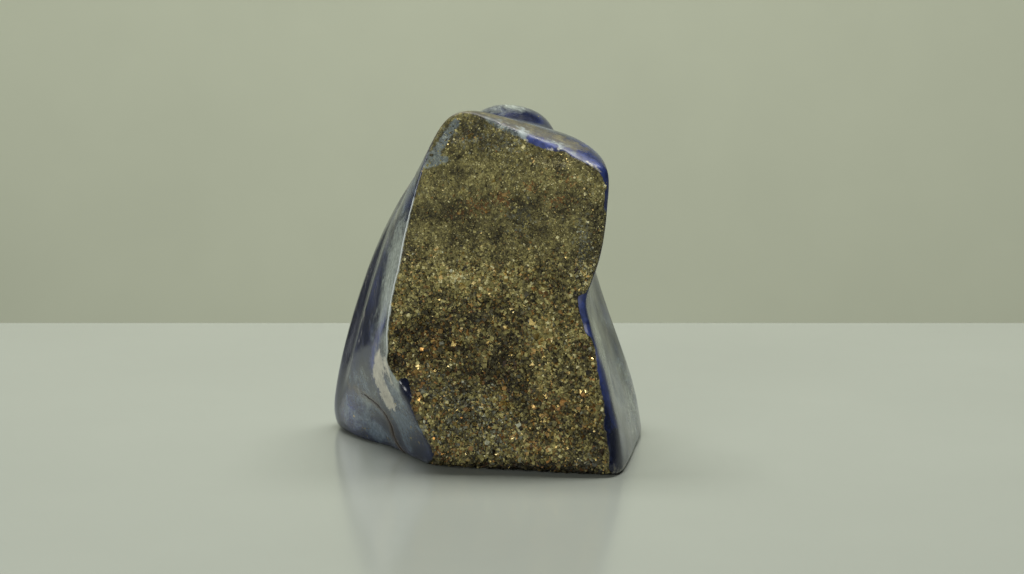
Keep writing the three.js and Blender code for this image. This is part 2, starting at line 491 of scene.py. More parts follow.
    def rim_gap(self, points: np.ndarray) -> np.ndarray:
        """Tells the crust from the polished sides.

        Args:
            points: Points on the stone, in millimetres.

        Returns:
            Above nought on the polished sides, below it on the crust.
        """
        return self.polished_gap(points) - self.crust_gap(points)

    def gap(self, points: np.ndarray) -> np.ndarray:
        """Measures points against the whole stone, with its base.

        Args:
            points: Points in millimetres.

        Returns:
            How far each point lies outside it.
        """
        sides = soft_max([self.polished_gap(points), self.crust_gap(points)], self.rim_ease)
        return soft_max([sides] + gaps((self.base,), points), self.foot_ease)

    def cast(self, points: np.ndarray, rounds: int = 24) -> np.ndarray:
        """Moves points onto the stone along the lines from its heart.

        Args:
            points: Points in millimetres, none of them at the heart.
            rounds: How often the stretch is halved.

        Returns:
            The points on the stone.
        """
        heart = np.array(self.heart)
        towards = points - heart
        towards = towards / np.linalg.norm(towards, axis=1, keepdims=True)
        inside = np.full(len(points), self.least)
        outside = np.full(len(points), self.reach)
        for _ in range(rounds):
            middle = (inside + outside) / 2
            beyond = self.gap(heart + towards * middle[:, None]) > 0
            outside = np.where(beyond, middle, outside)
            inside = np.where(beyond, inside, middle)
        return heart + towards * outside[:, None]

    def normals(self, points: np.ndarray) -> np.ndarray:
        """Gives the way the stone faces at points on it.

        Args:
            points: Points on the stone, in millimetres.

        Returns:
            The unit normal at each point.
        """
        slopes = []
        for axis in np.eye(3):
            slopes.append(self.gap(points + self.probe * axis) - self.gap(points - self.probe * axis))
        slope = np.stack(slopes, axis=1)
        return slope / np.linalg.norm(slope, axis=1, keepdims=True)


def scatter(mixed: np.ndarray) -> np.ndarray:
    """Turns numbers into others that look random.

    Args:
        mixed: The numbers.

    Returns:
        Numbers from 0 to 1.
    """
    value = np.sin(mixed) * 43758.5453
    return value - np.floor(value)


def lattice_noise(u: np.ndarray, v: np.ndarray) -> np.ndarray:
    """Gives smooth random heights over a square lattice.

    Args:
        u: Places along the lattice.
        v: Places across the lattice.

    Returns:
        Heights from -1 to 1.
    """

    def corner(i: np.ndarray, j: np.ndarray) -> np.ndarray:
        """Gives the heights of the lattice's corners.

        Args:
            i: Their numbers along the lattice.
            j: Their numbers across it.

        Returns:
            Heights from -1 to 1.
        """
        return 2.0 * scatter(i * MIX[0] + j * MIX[1]) - 1.0

    i, j = np.floor(u), np.floor(v)
    s = (u - i) ** 2 * (3.0 - 2.0 * (u - i))
    t = (v - j) ** 2 * (3.0 - 2.0 * (v - j))
    low = corner(i, j) * (1.0 - s) + corner(i + 1, j) * s
    high = corner(i, j + 1) * (1.0 - s) + corner(i + 1, j + 1) * s
    return low * (1.0 - t) + high * t


# Triangles


@dataclass
class Net:
    """A net of triangles.

    Args:
        points: Its points, in millimetres.
        triangles: The three points of each triangle, seen from outside anticlockwise.
    """

    points: np.ndarray
    triangles: np.ndarray

    @classmethod
    def ball(cls, rows: int) -> Net:
        """Makes a ball of even triangles.

        Args:
            rows: Rows of triangles in each of the ball's twenty large ones.

        Returns:
            The ball, with a radius of 1.
        """
        g = (1 + math.sqrt(5)) / 2
        corners = np.array(
            [(-1, g, 0), (1, g, 0), (-1, -g, 0), (1, -g, 0), (0, -1, g), (0, 1, g),
             (0, -1, -g), (0, 1, -g), (g, 0, -1), (g, 0, 1), (-g, 0, -1), (-g, 0, 1)]
        )
        faces = np.array(
            [(0, 11, 5), (0, 5, 1), (0, 1, 7), (0, 7, 10), (0, 10, 11), (1, 5, 9), (5, 11, 4),
             (11, 10, 2), (10, 7, 6), (7, 1, 8), (3, 9, 4), (3, 4, 2), (3, 2, 6), (3, 6, 8),
             (3, 8, 9), (4, 9, 5), (2, 4, 11), (6, 2, 10), (8, 6, 7), (9, 8, 1)]
        )
        steps = [(i, j) for i in range(rows + 1) for j in range(rows + 1 - i)]
        place = {step: k for k, step in enumerate(steps)}
        shares = np.array([(rows - i - j, i, j) for i, j in steps]) / rows
        small = []
        for i, j in steps:
            if i + j < rows:
                small.append((place[i, j], place[i + 1, j], place[i, j + 1]))
            if i + j < rows - 1:
                small.append((place[i + 1, j], place[i + 1, j + 1], place[i, j + 1]))
        spread = np.einsum("ks,fsc->fkc", shares, corners[faces]).reshape(-1, 3)
        spread /= np.linalg.norm(spread, axis=1, keepdims=True)
        _, first, back = np.unique(
            np.round(spread, 6), axis=0, return_index=True, return_inverse=True
        )
        steps_each = len(steps)
        all_small = np.concatenate([np.array(small) + k * steps_each for k in range(len(faces))])
        return cls(spread[first], back.reshape(-1)[all_small])

    def sides(self) -> tuple[np.ndarray, np.ndarray]:
        """Lists the net's sides.

        Returns:
            The two points of each side, and for each triangle its three sides.
        """
        ends = np.sort(
            np.stack([self.triangles, np.roll(self.triangles, -1, axis=1)], axis=2), axis=2
        )
        unique, back = np.unique(ends.reshape(-1, 2), axis=0, return_inverse=True)
        return unique, back.reshape(-1, 3)

    def evened(self, form: StoneForm, rounds: int) -> Net:
        """Spreads the points evenly over the stone.

        Args:
            form: The stone's form.
            rounds: How often each point moves to the middle of those around it.

        Returns:
            The evened net.
        """
        ends, _ = self.sides()
        count = np.bincount(ends.ravel(), minlength=len(self.points))[:, None]
        points = form.cast(self.points + np.array(form.heart))
        for _ in range(rounds):
            total = np.zeros_like(points)
            np.add.at(total, ends[:, 0], points[ends[:, 1]])
            np.add.at(total, ends[:, 1], points[ends[:, 0]])
            points = form.cast(total / count)
        return Net(points, self.triangles)

    def refined(self, form: StoneForm, wanted: np.ndarray) -> Net:
        """Splits triangles in four, and those beside them to match.

        Args:
            form: The stone's form, which the new points are moved onto.
            wanted: For each triangle, whether it is split.

        Returns:
            The finer net.
        """
        ends, sides = self.sides()
        cut = np.zeros(len(ends), bool)
        cut[sides[wanted].ravel()] = True
        middle = np.full(len(ends), -1)
        middle[cut] = len(self.points) + np.arange(cut.sum())
        points = np.concatenate([self.points, form.cast(self.points[ends[cut]].mean(1))])
        cuts = middle[sides]
        count = (cuts >= 0).sum(1)
        parts = [self.triangles[count == 0]]
        (a, b, c), (ab, bc, ca) = self.triangles[count == 3].T, cuts[count == 3].T
        for part in ((a, ab, ca), (b, bc, ab), (c, ca, bc), (ab, bc, ca)):
            parts.append(np.stack(part, 1))
        for turn in range(3):
            corners = np.roll(self.triangles, -turn, axis=1)
            turned = np.roll(cuts, -turn, axis=1)
            one = (count == 1) & (turned[:, 0] >= 0)
            (a, b, c), ab = corners[one].T, turned[one, 0]
            parts += [np.stack((a, ab, c), 1), np.stack((ab, b, c), 1)]
            two = (count == 2) & (turned[:, 0] < 0)
            (a, b, c), (_, bc, ca) = corners[two].T, turned[two].T
            parts += [np.stack((a, b, bc), 1), np.stack((a, bc, ca), 1), np.stack((ca, bc, c), 1)]
        return Net(points, np.concatenate(parts))

    def middles(self) -> np.ndarray:
        """Gives the middle of each triangle.

        Returns:
            The middles.
        """
        return self.points[self.triangles].mean(1)

    def areas(self) -> np.ndarray:
        """Gives the area of each triangle.

        Returns:
            The areas in square millimetres.
        """
        a, b, c = np.moveaxis(self.points[self.triangles], 1, 0)
        return np.linalg.norm(np.cross(b - a, c - a), axis=1) / 2

    def bends(self) -> np.ndarray:
        """Tells how strongly the net bends at each triangle.

        Returns:
            The largest angle to a neighbour, as 1 minus its cosine.
        """
        a, b, c = np.moveaxis(self.points[self.triangles], 1, 0)
        way = np.cross(b - a, c - a)
        way /= np.linalg.norm(way, axis=1, keepdims=True)
        ends, sides = self.sides()
        total = np.zeros((len(ends), 3))
        for k in range(3):
            np.add.at(total, sides[:, k], way)
        bend = 2.0 - np.linalg.norm(total, axis=1)
        return bend[sides].max(1)

    def to_object(self, name: str, shift: Triple, smooth: bool) -> bpy.types.Object:
        """Makes the net an object of the scene.

        Args:
            name: The object's name.
            shift: How far it is moved, in millimetres.
            smooth: Whether its faces are shaded as one smooth surface.

        Returns:
            The object.
        """
        mesh = bpy.data.meshes.new(name)
        mesh.from_pydata(((self.points + np.array(shift)) * MM).tolist(), [], self.triangles.tolist())
        mesh.polygons.foreach_set("use_smooth", [smooth] * len(mesh.polygons))
        return placed(name, mesh)


def placed(name: str, data: bpy.types.ID) -> bpy.types.Object:
    """Puts a mesh, a light or a camera in the scene.

    Args:
        name: The object's name.
        data: The mesh, light or camera.

    Returns:
        The object.
    """
    made = bpy.data.objects.new(name, data)
    bpy.context.scene.collection.objects.link(made)
    return made


def write_field(made: bpy.types.Object, name: str, values: np.ndarray, domain: str = "POINT") -> None:
    """Stores a value for each point or face of an object, for its material to read.

    Args:
        made: The object.
        name: The field's name.
        values: One value for each point or face.
        domain: POINT or FACE.
    """
    layer = made.data.attributes.new(name, "FLOAT", domain)
    layer.data.foreach_set("value", values.astype(np.float32))


@dataclass(frozen=True)
class GrainRelief:
    """Grains of the crust, packed close together, each with its own height and slant.

    Args:
        cell: The size of a grain, in millimetres.
        height: How much the grains differ in height.
        slant: How much their tops slant.
        crevice: How deep the crevices between them are.
        seed: Which random arrangement is used.
    """

    cell: float
    height: float
    slant: float
    crevice: float
    seed: int

    def _random(self, cells: np.ndarray, channel: int) -> np.ndarray:
        """Gives each cell a number of its own.

        Args:
            cells: The cells, as whole numbers.
            channel: Which of its numbers is wanted.

        Returns:
            Numbers from 0 to 1.
        """
        return scatter(cells @ np.array(MIX) + 19.19 * channel + 7.7 * self.seed)

    def at(self, points: np.ndarray) -> np.ndarray:
        """Gives the height of the grains at points.

        Args:
            points: Points in millimetres.

        Returns:
            The height at each point.
        """
        scaled = points / self.cell
        home = np.floor(scaled)
        nearest = np.full(len(points), 9.0)
        second = np.full(len(points), 9.0)
        height = np.zeros(len(points))
        for step in np.ndindex(3, 3, 3):
            cells = home + np.array(step) - 1.0
            centre = cells + np.stack([self._random(cells, k) for k in range(3)], axis=1)
            away = scaled - centre
            distance = np.linalg.norm(away, axis=1)
            slants = np.stack([self._random(cells, 3 + k) - 0.5 for k in range(3)], axis=1)
            own = self.height * (self._random(cells, 6) - 0.5) + self.slant * (away * slants).sum(1)
            closer = distance < nearest
            second = np.where(closer, nearest, np.minimum(second, distance))
            height = np.where(closer, own, height)
            nearest = np.where(closer, distance, nearest)
        return height - self.crevice * (1.0 - smooth_step(second - nearest, 0.0, 0.3))


# Shader nodes


class NodeBoard:
    """Adds and links the nodes of one shader tree."""

    def __init__(self, tree: bpy.types.NodeTree) -> None:
        """Takes a tree to work on.

        Args:
            tree: The shader tree.
        """
        self.tree = tree

    def add(self, kind: str, **settings: object) -> bpy.types.Node:
        """Adds a node.

        Args:
            kind: The node's type, without the common start of its name.
            settings: Properties of the node that are set.

        Returns:
            The node.
        """
        node = self.tree.nodes.new("ShaderNode" + kind)
        for name, value in settings.items():
            setattr(node, name, value)
        return node

    def feed(self, socket: Socket, value: Feed) -> None:
        """Links a socket to another, or sets its value.

        Args:
            socket: The socket that takes the value.
            value: A socket, a number or three numbers.
        """
        if isinstance(value, bpy.types.NodeSocket):
            self.tree.links.new(value, socket)
        elif isinstance(value, tuple) and socket.type == "RGBA":
            socket.default_value = (*value, 1.0)
        else:
            socket.default_value = value

    def maths(self, operation: str, a: Feed, b: Feed = 0.0, clamp: bool = False) -> Socket:
        """Works out one sum.

        Args:
            operation: The sum's name.
            a: Its first value.
            b: Its second value.
            clamp: Whether the result is kept from 0 to 1.

        Returns:
            The result.
        """
        node = self.add("Math", operation=operation, use_clamp=clamp)
        self.feed(node.inputs[0], a)
        self.feed(node.inputs[1], b)
        return node.outputs[0]

    def plus(self, a: Feed, b: Feed, share: Feed) -> Socket:
        """Adds a share of one number to another.

        Args:
            a: The number that is added to.
            b: The number that a share of is added.
            share: The share.

        Returns:
            The result.
        """
        return self.maths("ADD", a, self.maths("MULTIPLY", b, share))

    def move(self, operation: str, a: Feed, b: Feed) -> Socket:
        """Works out one sum on places.

        Args:
            operation: The sum's name.
            a: Its first place.
            b: Its second place.

        Returns:
            The result.
        """
        node = self.add("VectorMath", operation=operation)
        self.feed(node.inputs[0], a)
        self.feed(node.inputs[1], b)
        return node.outputs[0]

    def scaled(self, value: Feed, factor: Feed) -> Socket:
        """Makes a place larger or smaller, or a colour lighter or darker.

        Args:
            value: The place or the colour.
            factor: What it is multiplied with.

        Returns:
            The scaled place or colour.
        """
        node = self.add("VectorMath", operation="SCALE")
        self.feed(node.inputs[0], value)
        self.feed(node.inputs["Scale"], factor)
        return node.outputs[0]

    def noise(self, place: Socket, size: float, detail: float = 4.0, rough: float = 0.55) -> Socket:
        """Adds cloudy noise.

        Args:
            place: Where it is read, in millimetres.
            size: The size of its clouds, in millimetres.
            detail: How many finer layers it has.
            rough: How strong the finer layers are.

        Returns:
            The noise, mostly from 0.3 to 0.7.
        """
        node = self.add("TexNoise")
        self.feed(node.inputs["Vector"], place)
        node.inputs["Scale"].default_value = 1.0 / size
        node.inputs["Detail"].default_value = detail
        node.inputs["Roughness"].default_value = rough
        return node.outputs[0]

    def warped(self, place: Socket, density: float, far: float) -> Socket:
        """Pushes places about, as cloudy noise has it.

        Args:
            place: The places, in millimetres.
            density: How many clouds there are to the millimetre.
            far: How far the places are pushed, from one extreme to the other.

        Returns:
            The pushed places.
        """
        clouds = self.add("TexNoise")
        self.feed(clouds.inputs["Vector"], place)
        clouds.inputs["Scale"].default_value = density
        centred = self.move("SUBTRACT", clouds.outputs["Color"], (0.5, 0.5, 0.5))
        return self.move("ADD", place, self.scaled(centred, far))

    def cells(self, place: Socket, size: float, feature: str = "F1") -> bpy.types.Node:
        """Adds a pattern of close-packed cells.

        Args:
            place: Where it is read, in millimetres.
            size: The size of a cell, in millimetres.
            feature: What is measured.

        Returns:
            The node, with its distance and colour.
        """
        node = self.add("TexVoronoi", feature=feature)
        self.feed(node.inputs["Vector"], place)
        node.inputs["Scale"].default_value = 1.0 / size
        return node

    def remap(self, value: Socket, source: tuple[float, float], target: tuple[float, float] = (0.0, 1.0),
              ease: bool = True) -> Socket:
        """Maps a range of values to another.

        Args:
            value: The value.
            source: The range it is read in.
            target: The range it becomes.
            ease: Whether it eases in and out.

        Returns:
            The mapped value, kept inside the target.
        """
        node = self.add("MapRange", interpolation_type="SMOOTHSTEP" if ease else "LINEAR")
        self.feed(node.inputs["Value"], value)
        for name, number in zip(("From Min", "From Max", "To Min", "To Max"), (*source, *target)):
            node.inputs[name].default_value = number
        return node.outputs["Result"]

    def blend(self, share: Feed, a: Feed, b: Feed) -> Socket:
        """Blends two colours.

        Args:
            share: How much of the second is taken.
            a: The first colour.
            b: The second colour.

        Returns:
            The blended colour.
        """
        node = self.add("Mix", data_type="RGBA")
        self.feed(node.inputs[0], share)
        self.feed(node.inputs[6], a)
        self.feed(node.inputs[7], b)
        return node.outputs[2]

    def parts(self, colour: Socket) -> list[Socket]:
        """Takes a colour apart.

        Args:
            colour: The colour.

        Returns:
            Its red, green and blue.
        """
        node = self.add("SeparateColor")
        self.feed(node.inputs[0], colour)
        return list(node.outputs[:3])

    def between(self, share: Feed, a: Feed, b: Feed) -> Socket:
        """Blends two numbers.

        Args:
            share: How much of the second is taken.
            a: The first number.
            b: The second number.

        Returns:
            The blended number.
        """
        node = self.add("Mix", data_type="FLOAT")
        self.feed(node.inputs[0], share)
        self.feed(node.inputs[2], a)
        self.feed(node.inputs[3], b)
        return node.outputs[0]

    def ramp(self, value: Socket, stops: tuple[tuple[float, Triple], ...]) -> Socket:
        """Turns a value into a colour.

        Args:
            value: The value.
            stops: Values with the colour each of them becomes.

        Returns:
            The colour.
        """
        node = self.add("ValToRGB")
        self.feed(node.inputs[0], value)
        elements = node.color_ramp.elements
        while len(elements) < len(stops):
            elements.new(0.5)
        for element, (place, colour) in zip(elements, stops):
            element.position = place
            element.color = (*colour, 1.0)
        return node.outputs[0]

    def bump(self, strength: float, depth: float, height: Socket, under: Socket | None = None) -> Socket:
        """Turns a height into small relief.

        Args:
            strength: How strongly it shows.
            depth: How deep it is, in metres.
            height: The height.
            under: Relief that it lies on, if any.

        Returns:
            The normal.
        """
        node = self.add("Bump")
        node.inputs["Strength"].default_value = strength
        node.inputs["Distance"].default_value = depth
        self.feed(node.inputs["Height"], height)
        if under:
            self.feed(node.inputs["Normal"], under)
        return node.outputs[0]

    def field(self, name: str) -> Socket:
        """Reads a field that is stored in the mesh.

        Args:
            name: The field's name.

        Returns:
            Its value.
        """
        return self.add("Attribute", attribute_name=name).outputs["Fac"]

    def millimetres(self) -> Socket:
        """Gives the place on the object.

        Returns:
            The place in millimetres.
        """
        place = self.add("TexCoord").outputs["Object"]
        return self.scaled(place, 1.0 / MM)

    def effect(self, tree: bpy.types.NodeTree, **inlets: Feed) -> bpy.types.Node:
        """Adds a shared effect.

        Args:
            tree: The effect's node group.
            inlets: Values for its inlets.

        Returns:
            The node, with the effect's outlets.
        """
        node = self.add("Group", node_tree=tree)
        for name, value in inlets.items():
            self.feed(node.inputs[name], value)
        return node


def blank_material(name: str) -> tuple[bpy.types.Material, NodeBoard, bpy.types.Node]:
    """Makes a material that is still to be wired.

    Args:
        name: The material's name.

    Returns:
        The material, the board of its tree and its shader.
    """
    made = bpy.data.materials.new(name)
    made.use_nodes = True
    return made, NodeBoard(made.node_tree), made.node_tree.nodes["Principled BSDF"]


class Effect(ABC):
    """A shared look, kept as one shader node group."""

    title: ClassVar[str]
    inlets: ClassVar[dict[str, str]]
    outlets: ClassVar[dict[str, str]]

    def tree(self) -> bpy.types.NodeTree:
        """Gives the effect's node group, which is made once.

        Returns:
            The node group.
        """
        known = bpy.data.node_groups.get(self.title)
        if known:
            return known
        tree = bpy.data.node_groups.new(self.title, "ShaderNodeTree")
        for name, kind in self.inlets.items():
            tree.interface.new_socket(name=name, in_out="INPUT", socket_type="NodeSocket" + kind)
        for name, kind in self.outlets.items():
            tree.interface.new_socket(name=name, in_out="OUTPUT", socket_type="NodeSocket" + kind)
        board = NodeBoard(tree)
        source = tree.nodes.new("NodeGroupInput")
        result = tree.nodes.new("NodeGroupOutput")
        for name, value in self.wire(board, {name: source.outputs[name] for name in self.inlets}).items():
            board.feed(result.inputs[name], value)
        return tree

    @abstractmethod
    def wire(self, board: NodeBoard, inlet: dict[str, Socket]) -> dict[str, Socket]:
        """Wires the effect.

        Args:
            board: The board of the effect's own tree.
            inlet: The inlets by name.

        Returns:
            What each outlet gives.
        """


class LapisBlues(Effect):
    """Mottled blues of the polished rock: navy, royal blue, chalky denim and a painted near-white sheen."""

    title = "lapis blues"
    inlets = {"Place": "Vector", "Royal": "Float", "Denim": "Float", "Mist": "Float", "Navy": "Float"}
    outlets = {"Color": "Color"}

    def wire(self, board: NodeBoard, inlet: dict[str, Socket]) -> dict[str, Socket]:
        """Wires the mottling.

        Args:
            board: The board of the effect's own tree.
            inlet: The inlets by name.

        Returns:
            What each outlet gives.
        """
        place = inlet["Place"]
        warped = board.warped(place, 0.07, 16.0)
        depth = board.noise(warped, 9.0, 7.0, 0.62)
        depth = board.plus(depth, inlet["Royal"], 0.26)
        blue = board.ramp(depth, (
            (0.34, (0.005, 0.007, 0.018)),
            (0.50, (0.008, 0.013, 0.046)),
            (0.64, (0.015, 0.026, 0.110)),
            (0.82, (0.034, 0.056, 0.220)),
        ))
        cloud = board.noise(board.move("MULTIPLY", warped, (1.0, 0.6, 1.3)), 5.0, 8.0, 0.66)
        lifted = board.plus(cloud, inlet["Denim"], 0.24)
        kept = board.plus(lifted, inlet["Royal"], -0.14)
        haze = board.remap(kept, (0.56, 0.80))
        chalky = board.blend(haze, blue, (0.105, 0.140, 0.185))
        streaky = board.noise(board.move("MULTIPLY", warped, (1.6, 0.5, 0.9)), 3.4, 8.0, 0.7)
        # Painted sheen and reflection: the blues turn near white where the polish would mirror the lights and the
        # wall.
        painted_sheen_share = board.remap(board.plus(inlet["Mist"], streaky, 1.6), (0.95, 1.75))
        chalky = board.blend(painted_sheen_share, chalky, (0.330, 0.370, 0.330))
        deep = board.remap(board.plus(inlet["Navy"], cloud, 0.8), (0.70, 1.15))
        chalky = board.blend(deep, chalky, (0.009, 0.012, 0.030))
        grain = board.remap(board.parts(board.cells(place, 0.5).outputs["Color"])[0], (0.0, 1.0), (0.75, 1.25),
                            ease=False)
        fine = board.remap(board.noise(place, 0.8, 3.0, 0.7), (0.3, 0.7), (0.8, 1.2), ease=False)
        return {"Color": board.scaled(chalky, board.maths("MULTIPLY", grain, fine))}


class CalciteVeins(Effect):
    """Long, ragged streaks of calcite, broad in places and thin in others, and its named patches."""

    title = "calcite veins"
    inlets = {"Place": "Vector", "Pale": "Float"}
    outlets = {"Mask": "Float", "Cloud": "Float"}

    def wire(self, board: NodeBoard, inlet: dict[str, Socket]) -> dict[str, Socket]:
        """Wires the veins.

        Args:
            board: The board of the effect's own tree.
            inlet: The inlets by name.

        Returns:
            What each outlet gives.
        """
        place = inlet["Place"]
        slanted = board.move("MULTIPLY", place, (1.0, 0.6, 0.36))
        broad = board.noise(slanted, 12.0, 4.0, 0.55)
        away = board.maths("ABSOLUTE", board.maths("SUBTRACT", broad, 0.5))
        gate = board.remap(board.noise(place, 12.0, 3.0), (0.52, 0.66), (0.0, 0.6))
        vein = board.maths("MULTIPLY", board.remap(away, (0.0, 0.024), (1.0, 0.0)), gate)
        fine = board.noise(slanted, 5.0, 4.0, 0.6)
        fine_away = board.maths("ABSOLUTE", board.maths("SUBTRACT", fine, 0.48))
        fine_gate = board.remap(board.noise(place, 8.0, 2.0), (0.58, 0.68), (0.0, 0.45))
        hair = board.maths("MULTIPLY", board.remap(fine_away, (0.0, 0.016), (1.0, 0.0)), fine_gate)
        ragged = board.noise(board.move("MULTIPLY", place, (1.3, 0.7, 0.8)), 1.5, 7.0, 0.75)
        reach = board.plus(inlet["Pale"], ragged, 1.8)
        patch = board.remap(reach, (1.28, 1.56))
        patch = board.maths("MULTIPLY", patch, board.remap(inlet["Pale"], (0.08, 0.3)))
        both = board.maths("MAXIMUM", vein, hair)
        worn = board.maths("MULTIPLY", both, board.remap(ragged, (0.42, 0.66), (0.0, 1.0)))
        return {"Mask": board.maths("MAXIMUM", worn, patch), "Cloud": ragged}


class PyriteFlecks(Effect):
    """Small golden flecks, gathered in drifts through the blue."""

    title = "pyrite flecks"
    inlets = {"Place": "Vector"}
    outlets = {"Mask": "Float"}

    def wire(self, board: NodeBoard, inlet: dict[str, Socket]) -> dict[str, Socket]:
        """Wires the flecks.

        Args:
            board: The board of the effect's own tree.
            inlet: The inlets by name.

        Returns:
            What each outlet gives.
        """
        place = inlet["Place"]
        drift = board.noise(board.move("MULTIPLY", place, (1.0, 0.6, 1.5)), 9.0, 4.0, 0.6)
        crowd = board.remap(drift, (0.50, 0.68))
        ragged = board.warped(place, 1.6, 0.9)
        masks = []
        for size, most in ((1.5, 0.22), (0.6, 0.26)):
            cell = board.cells(ragged, size)
            chance = board.remap(board.parts(cell.outputs["Color"])[0], (0.45, 0.85))
            reach = board.maths("MULTIPLY", board.maths("MULTIPLY", crowd, chance), most)
            inside = board.maths("SUBTRACT", reach, cell.outputs["Distance"])
            masks.append(board.remap(inside, (0.0, 0.03)))
        return {"Mask": board.maths("MAXIMUM", masks[0], masks[1])}


class PolishWear(Effect):
    """What handling leaves on a polish: faint smears, fine scratches and tiny pores."""

    title = "polish wear"
    inlets = {"Place": "Vector"}
    outlets = {"Roughness": "Float", "Height": "Float"}

    def wire(self, board: NodeBoard, inlet: dict[str, Socket]) -> dict[str, Socket]:
        """Wires the wear.

        Args:
            board: The board of the effect's own tree.
            inlet: The inlets by name.

        Returns:
            What each outlet gives.
        """
        place = inlet["Place"]
        smear = board.remap(board.noise(place, 7.0, 5.0, 0.6), (0.35, 0.7), (0.13, 0.26))
        long = board.move("MULTIPLY", place, (6.0, 0.5, 1.2))
        scratch = board.remap(board.noise(long, 1.0, 3.0, 0.8), (0.62, 0.72))
        across = board.move("MULTIPLY", place, (0.8, 5.0, 5.5))
        scratch_too = board.remap(board.noise(across, 1.0, 3.0, 0.8), (0.64, 0.72))
        scratches = board.maths("MAXIMUM", scratch, scratch_too)
        pores = board.remap(board.cells(place, 0.9).outputs["Distance"], (0.04, 0.1), (1.0, 0.0))
        dents = board.maths("ADD", board.maths("MULTIPLY", scratches, 0.3), pores)
        peel = board.noise(place, 2.6, 2.0)
        height = board.maths("SUBTRACT", board.maths("MULTIPLY", peel, 0.8), dents)
        rough = board.plus(smear, scratches, 0.08)
        return {"Roughness": rough, "Height": height}


class CrustGrit(Effect):
    """The fine grit of the raw crust: grains of many tones, with painted shade in their crevices and hollows."""

    title = "crust grit"
    inlets = {"Place": "Vector", "Tone": "Float", "Depth": "Float", "Gold": "Float", "Rust": "Float",
              "Grey": "Float", "Ash": "Float"}
    outlets = {"Color": "Color", "Roughness": "Float", "Metal": "Float", "Height": "Float"}

    def wire(self, board: NodeBoard, inlet: dict[str, Socket]) -> dict[str, Socket]:
        """Wires the grit.

        Args:
            board: The board of the effect's own tree.
            inlet: The inlets by name.

        Returns:
            What each outlet gives.
        """
        place = inlet["Place"]
        broad, grain, fine = (board.cells(place, size) for size in (1.0, 0.46, 0.21))
        lumps, mids, smalls = (board.parts(node.outputs["Color"]) for node in (broad, grain, fine))
        edge = board.cells(place, 0.46, "DISTANCE_TO_EDGE").outputs["Distance"]
        # Painted shade: darker towards each grain's edge, in the crevices that the bump sinks.
        crevice = board.remap(edge, (0.0, 0.05), (0.55, 1.0))
        # Painted shade: darker where the crust's grains are sunk.
        sunk = board.remap(inlet["Depth"], (-0.46, 0.04), (0.16, 1.10), ease=False)
        cloud = board.noise(place, 3.2, 5.0, 0.62)
        tone = board.plus(inlet["Tone"], board.maths("SUBTRACT", cloud, 0.5), 0.8)
        for source, share in ((lumps[0], 0.13), (mids[0], 0.20), (smalls[0], 0.16)):
            tone = board.plus(tone, board.maths("SUBTRACT", source, 0.5), share)
        tone = board.maths("MULTIPLY", tone, board.maths("MULTIPLY", crevice, sunk), clamp=True)
        olive = board.ramp(tone, (
            (0.00, (0.012, 0.010, 0.005)),
            (0.25, (0.072, 0.062, 0.028)),
            (0.50, (0.237, 0.208, 0.078)),
            (0.75, (0.485, 0.430, 0.170)),
            (1.00, (0.820, 0.770, 0.450)),
        ))
        slate = board.ramp(tone, (
            (0, (0.014, 0.014, 0.011)),
            (0.5, (0.200, 0.205, 0.150)),
            (1, (0.700, 0.720, 0.560)),
        ))
        rusty = board.ramp(tone, (
            (0, (0.022, 0.010, 0.004)),
            (0.5, (0.300, 0.150, 0.045)),
            (1, (0.780, 0.480, 0.160)),
        ))
        weathered = board.ramp(tone, (
            (0, (0.070, 0.090, 0.120)),
            (0.5, (0.320, 0.375, 0.365)),
            (1, (0.620, 0.690, 0.640)),
        ))
        grey = board.remap(board.maths("ADD", inlet["Grey"], mids[1]), (0.80, 1.25))
        colour = board.blend(grey, olive, slate)
        rust = board.remap(board.maths("ADD", inlet["Rust"], mids[2]), (0.92, 1.22))
        colour = board.blend(rust, colour, rusty)
        patchy = board.plus(inlet["Ash"], board.noise(place, 1.3, 6.0, 0.75), 1.5)
        ash = board.remap(patchy, (1.14, 1.42))
        colour = board.blend(board.maths("MULTIPLY", ash, 0.85), colour, weathered)
        lucky = board.plus(smalls[1], inlet["Gold"], 0.35)
        metal = board.remap(lucky, (0.92, 1.02), (0.0, 0.7))
        metal = board.maths("MULTIPLY", metal, board.maths("SUBTRACT", 1.0, ash))
        rough = board.between(metal, 0.66, 0.40)
        height = board.plus(board.maths("MULTIPLY", edge, 1.6), fine.outputs["Distance"], -0.6)
        height = board.plus(height, mids[2], 0.25)
        return {"Color": colour, "Roughness": rough, "Metal": metal, "Height": height}


# Finishes


